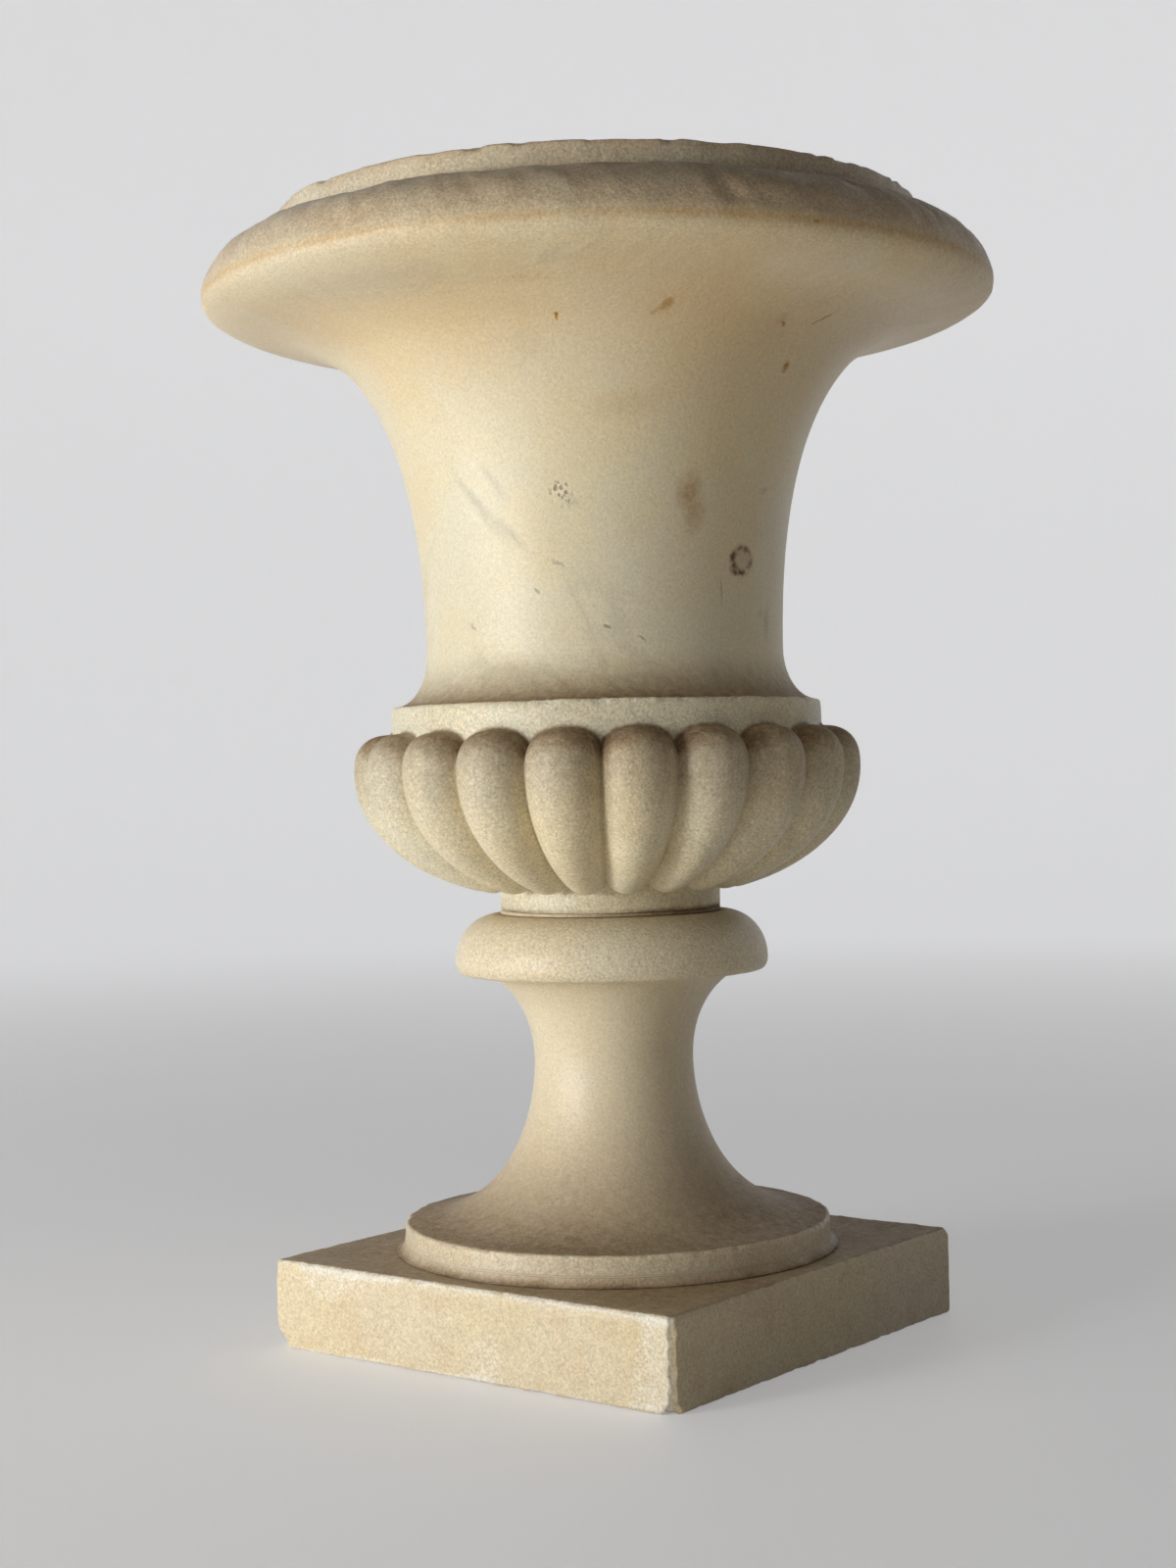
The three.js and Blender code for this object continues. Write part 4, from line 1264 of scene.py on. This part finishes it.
def marble(name, stone, clean, clouded, bell=False):
    """Weathered marble: clouded stone, haze, patina and painted shade by the soil mask, rubbed edges and painted
    highlights by the rub mask, painted glints on the brightest crystals and a sugary crystal grain.
    The bell has grey veins and marks too."""
    f = Finish(name)
    wavy = f.warped(WARP_SIZE, WARP_REACH)
    speck = f.noise(SPECK_SIZE, 4, rough=0.7)
    grain = f.noise(stone.grain, 2, rough=0.6)
    crystals = f.cells(1.1 * stone.grain, output="Color")
    glint = f.node("ShaderNodeSeparateColor", {}, {0: crystals})
    soil, rub, rust, haze, grit = (f.mask(key) for key in ("soil", "rub", "rust", "haze", "grit"))

    colour = f.mix(f.step(f.noise(CLOUD_SIZE, 4, wavy), 0.36, 0.7) * 0.7, clean, clouded)
    if bell:
        lean = f.mapped(wavy, (0, 0, 0), VEIN_TURN, VEIN_STRETCH)
        ridge = abs(f.noise(1.0, 4, lean, 0.6) - 0.5)
        veins = (1 - f.step(ridge, 0.0, 0.06)) * f.step(f.noise(VEIN_PATCHES, 2), 0.48, 0.62)
        colour = f.mix(veins * 0.18, colour, stone.vein)
    colour = f.mix(haze * (0.55 + 0.7 * speck), colour, stone.haze)
    colour = f.mix(rust * (0.6 + 0.4 * speck), colour, stone.ochre)
    dirt_and_shade = f.step(soil * (0.5 + speck), 0.03, 1.0) * stone.soil
    colour = f.mix(dirt_and_shade, colour, stone.patina)
    colour = f.mix(f.step(soil * (0.55 + 0.7 * speck), 0.72, 1.1), colour, stone.grime)
    if bell:
        colour, pits = bell_marks(f, colour, speck, stone)
    # Whitens rubbed edges; on the plinth's side towards the key lamp this is partly painted highlight.
    chalk_and_highlight = f.step(rub * (0.8 * speck + 0.8 * grain), 0.3, 0.75)
    colour = f.mix(chalk_and_highlight * 0.8, colour, stone.fresh)
    # Painted glints: the brightest crystals are lightened a little towards fresh stone, and made a little less rough.
    glint_spots = f.step(glint, 0.8, 1.0) * grit
    colour = f.mix(glint_spots * 0.08, colour, stone.fresh)
    colour = f.darkened(colour, 1 + grit * (1.1 * grain + 0.1 * glint - 0.6))
    roughness = 0.26 + 0.34 * dirt_and_shade + 0.16 * f.noise(GLOSS_SIZE, 3) + 0.1 * speck - 0.1 * glint_spots
    height = grit * (0.5 * grain + 0.4 * glint + 0.5 * speck) + 0.3 * speck + 0.4 * chalk_and_highlight * grain
    if bell:
        height = height - 1.2 * pits
    return f.done(colour, roughness, height, MARBLE_BUMP, **MARBLE_BODY)


def wrought_iron(settings):
    """Dull iron with patches of rust and a hammered face."""
    f = Finish("wrought_iron")
    rust = f.step(f.noise(5 * MM, 5, rough=0.65), 0.42, 0.62)
    scale = f.noise(1.2 * MM, 4, rough=0.7)
    colour = f.darkened(f.mix(rust, settings.iron, settings.rust), 0.7 + 0.5 * scale)
    return f.done(colour, 0.55 + 0.35 * rust, scale + 0.6 * rust, 0.4 * MM, Metallic=0.55)


def lead_sheet(settings):
    """Dull lead with a pale bloom and soft dents."""
    f = Finish("lead_sheet")
    bloom = f.step(f.noise(6 * MM, 4), 0.4, 0.65)
    dents = f.noise(3 * MM, 2)
    colour = f.mix(bloom * 0.7, settings.lead, settings.lead_bloom)
    return f.done(colour, 0.5 + 0.3 * bloom, dents, 0.5 * MM, Metallic=0.6)


# The studio in metres: radius of the flat floor and of its curve up to the wall, levels of the wall, the spots round
# which the floor gives light and is kept from giving it, and the height that the lamps aim at
FLOOR_RADIUS = 1.9
CURVE_RADIUS = 0.9
WALL_LEVELS = (CURVE_RADIUS, 2.2, 3.4)
FLOOR_MIDDLE = 1 * MM
LIT_SPOT = (-0.12, -0.38, 0)
SHADE_SPOT = (0.09, 0.05, 0)
LAMP_AIM = 0.2

# The camera's sensor, in mm along the image's long side
SENSOR_WIDTH = 36

# Lamps: name, setting of their power, degrees round from the camera and up, distance and width in metres
LAMPS = (("key_lamp", "key", -54, 4, 1.5, 0.4), ("reflector", "reflector", -72, -4, 1.2, 0.3))


class JARDINIERE_OT_stage(bpy.types.Operator):
    """Sets up the pale studio floor, the lamps and the camera"""

    bl_idname = "jardiniere.stage"
    bl_label = "Stage"

    def execute(self, context):
        settings = context.scene.jardiniere.stage
        self.floor(settings)
        self.lamps(context.scene, settings)
        self.camera(context.scene, settings)
        context.scene.view_settings.view_transform = "Standard"
        return {"FINISHED"}

    def floor(self, settings):
        """A round floor, level with the plinth's underside, that curves up to a wall all round."""
        profile = np.concatenate(
            [
                even(line((FLOOR_MIDDLE, 0), (FLOOR_RADIUS, 0)), 40),
                even(rounded(FLOOR_RADIUS, CURVE_RADIUS, CURVE_RADIUS, -QUARTER, 0), 30),
                line(*((FLOOR_RADIUS + CURVE_RADIUS, level) for level in WALL_LEVELS)),
            ]
        )
        points = turned(profile, all_round(FLOOR_COLUMNS))
        rows, columns = points.shape[:2]
        index = np.arange(rows * columns).reshape(rows, columns)
        right = np.roll(index, -1, 1)
        quads = np.stack([index[:-1], index[1:], right[1:], right[:-1]], -1).reshape(-1, 4)
        mesh = bpy.data.meshes.new("studio_floor")
        mesh.from_pydata(points.reshape(-1, 3).tolist(), [], [*quads.tolist(), index[0].tolist()])
        mesh.shade_smooth()
        f = Finish("studio_paint")
        mottle = f.noise(0.35, 2)
        kinds = ("Camera", "Glossy", "Transmission")
        rays = [f.node("ShaderNodeLightPath", {}, {}, f"Is {kind} Ray") for kind in kinds]
        # The floor glows, though it is no lamp. To camera, glossy and transmission rays it shows the pale backdrop
        # colour, brighter farther out; to other rays it gives warm painted bounce light, cut round SHADE_SPOT as a
        # painted shadow of the jardiniere and fading away from LIT_SPOT.
        reach = f.step(f.distance(SHADE_SPOT), 0.1, 0.3) * (1 - f.step(f.distance(LIT_SPOT), 0.5, 1.5))
        bounce_glow = f.darkened((*settings.warmth, 1), reach * settings.bounce)
        shown = f.darkened((*settings.backdrop, 1), 0.42 + 0.38 * f.step(f.distance((0, 0, 0)), 0.2, 2.6))
        glow = f.mix(rays[0] + rays[1] + rays[2], bounce_glow, shown)
        paint = f.darkened((*settings.floor, 1), 0.97 + 0.05 * mottle)
        mesh.materials.append(
            f.done(paint, 0.55 + 0.1 * mottle, mottle, 0.1 * MM, Emission_Color=glow, Emission_Strength=1.0)
        )
        floor = bpy.data.objects.new("studio_floor", mesh)
        bpy.context.scene.collection.objects.link(floor)

    def lamps(self, scene, settings):
        """A soft lamp on the left of the camera, a weak board below it, and even light from all round."""
        for name, power, side, rise, reach, width in LAMPS:
            lamp = bpy.data.lights.new(name, "AREA")
            lamp.shape, lamp.size, lamp.energy = "DISK", width, getattr(settings, power)
            turn, lift = settings.azimuth + math.radians(side), math.radians(rise)
            back = Vector((math.sin(turn) * math.cos(lift), -math.cos(turn) * math.cos(lift), math.sin(lift)))
            holder = bpy.data.objects.new(name, lamp)
            holder.location = back * reach + Vector((0, 0, LAMP_AIM))
            holder.rotation_euler = (-back).to_track_quat("-Z", "Y").to_euler()
            scene.collection.objects.link(holder)
        world = bpy.data.worlds.new("studio_sky")
        world.use_nodes = True
        sky = world.node_tree.nodes["Background"]
        sky.inputs["Color"].default_value = (*settings.warmth, 1)
        sky.inputs["Strength"].default_value = settings.sky
        scene.world = world

    def camera(self, scene, settings):
        """The camera at the photograph's angle: it stands at the azimuth and is turned, tilted and rolled a little."""
        data = bpy.data.cameras.new("camera")
        data.lens, data.sensor_width = settings.lens, SENSOR_WIDTH
        camera = bpy.data.objects.new("camera", data)
        place = Matrix.Rotation(settings.azimuth, 4, "Z") @ Vector((0, -settings.distance, settings.height))
        camera.matrix_world = (
            Matrix.Translation(place)
            @ Matrix.Rotation(settings.azimuth - settings.yaw, 4, "Z")
            @ Matrix.Rotation(QUARTER + settings.pitch, 4, "X")
            @ Matrix.Rotation(settings.roll, 4, "Z")
        )
        scene.collection.objects.link(camera)
        scene.camera = camera


class JARDINIERE_PT_panel(bpy.types.Panel):
    """Lists the pieces and their sizes in the sidebar"""

    bl_idname = "JARDINIERE_PT_panel"
    bl_label = "Marble jardiniere"
    bl_space_type = "VIEW_3D"
    bl_region_type = "UI"
    bl_category = "Jardiniere"

    def draw(self, context):
        settings = context.scene.jardiniere
        for operator in OPERATORS:
            self.layout.operator(operator.bl_idname)
        for key in JardiniereSettings.__annotations__:
            group = getattr(settings, key)
            box = self.layout.box()
            box.label(text=type(group).__doc__)
            for size in type(group).__annotations__:
                box.prop(group, size)


GROUPS = (BowlSizes, SocleSizes, PlinthSizes, StoneFinish, IronFinish, StageSettings)
OPERATORS = (
    JARDINIERE_OT_stage,
    JARDINIERE_OT_plinth,
    JARDINIERE_OT_socle,
    JARDINIERE_OT_bowl,
    JARDINIERE_OT_mortar,
    JARDINIERE_OT_fittings,
)
CLASSES = (*GROUPS, JardiniereSettings, *OPERATORS, JARDINIERE_PT_panel)


def register():
    for each in CLASSES:
        bpy.utils.register_class(each)
    bpy.types.Scene.jardiniere = PointerProperty(type=JardiniereSettings)


def unregister():
    del bpy.types.Scene.jardiniere
    for each in reversed(CLASSES):
        bpy.utils.unregister_class(each)


def main():
    register()
    bpy.ops.jardiniere.stage()
    bpy.ops.jardiniere.plinth()
    bpy.ops.jardiniere.socle()
    bpy.ops.jardiniere.bowl()
    bpy.ops.jardiniere.mortar()
    bpy.ops.jardiniere.fittings()


if __name__ == "__main__":
    main()
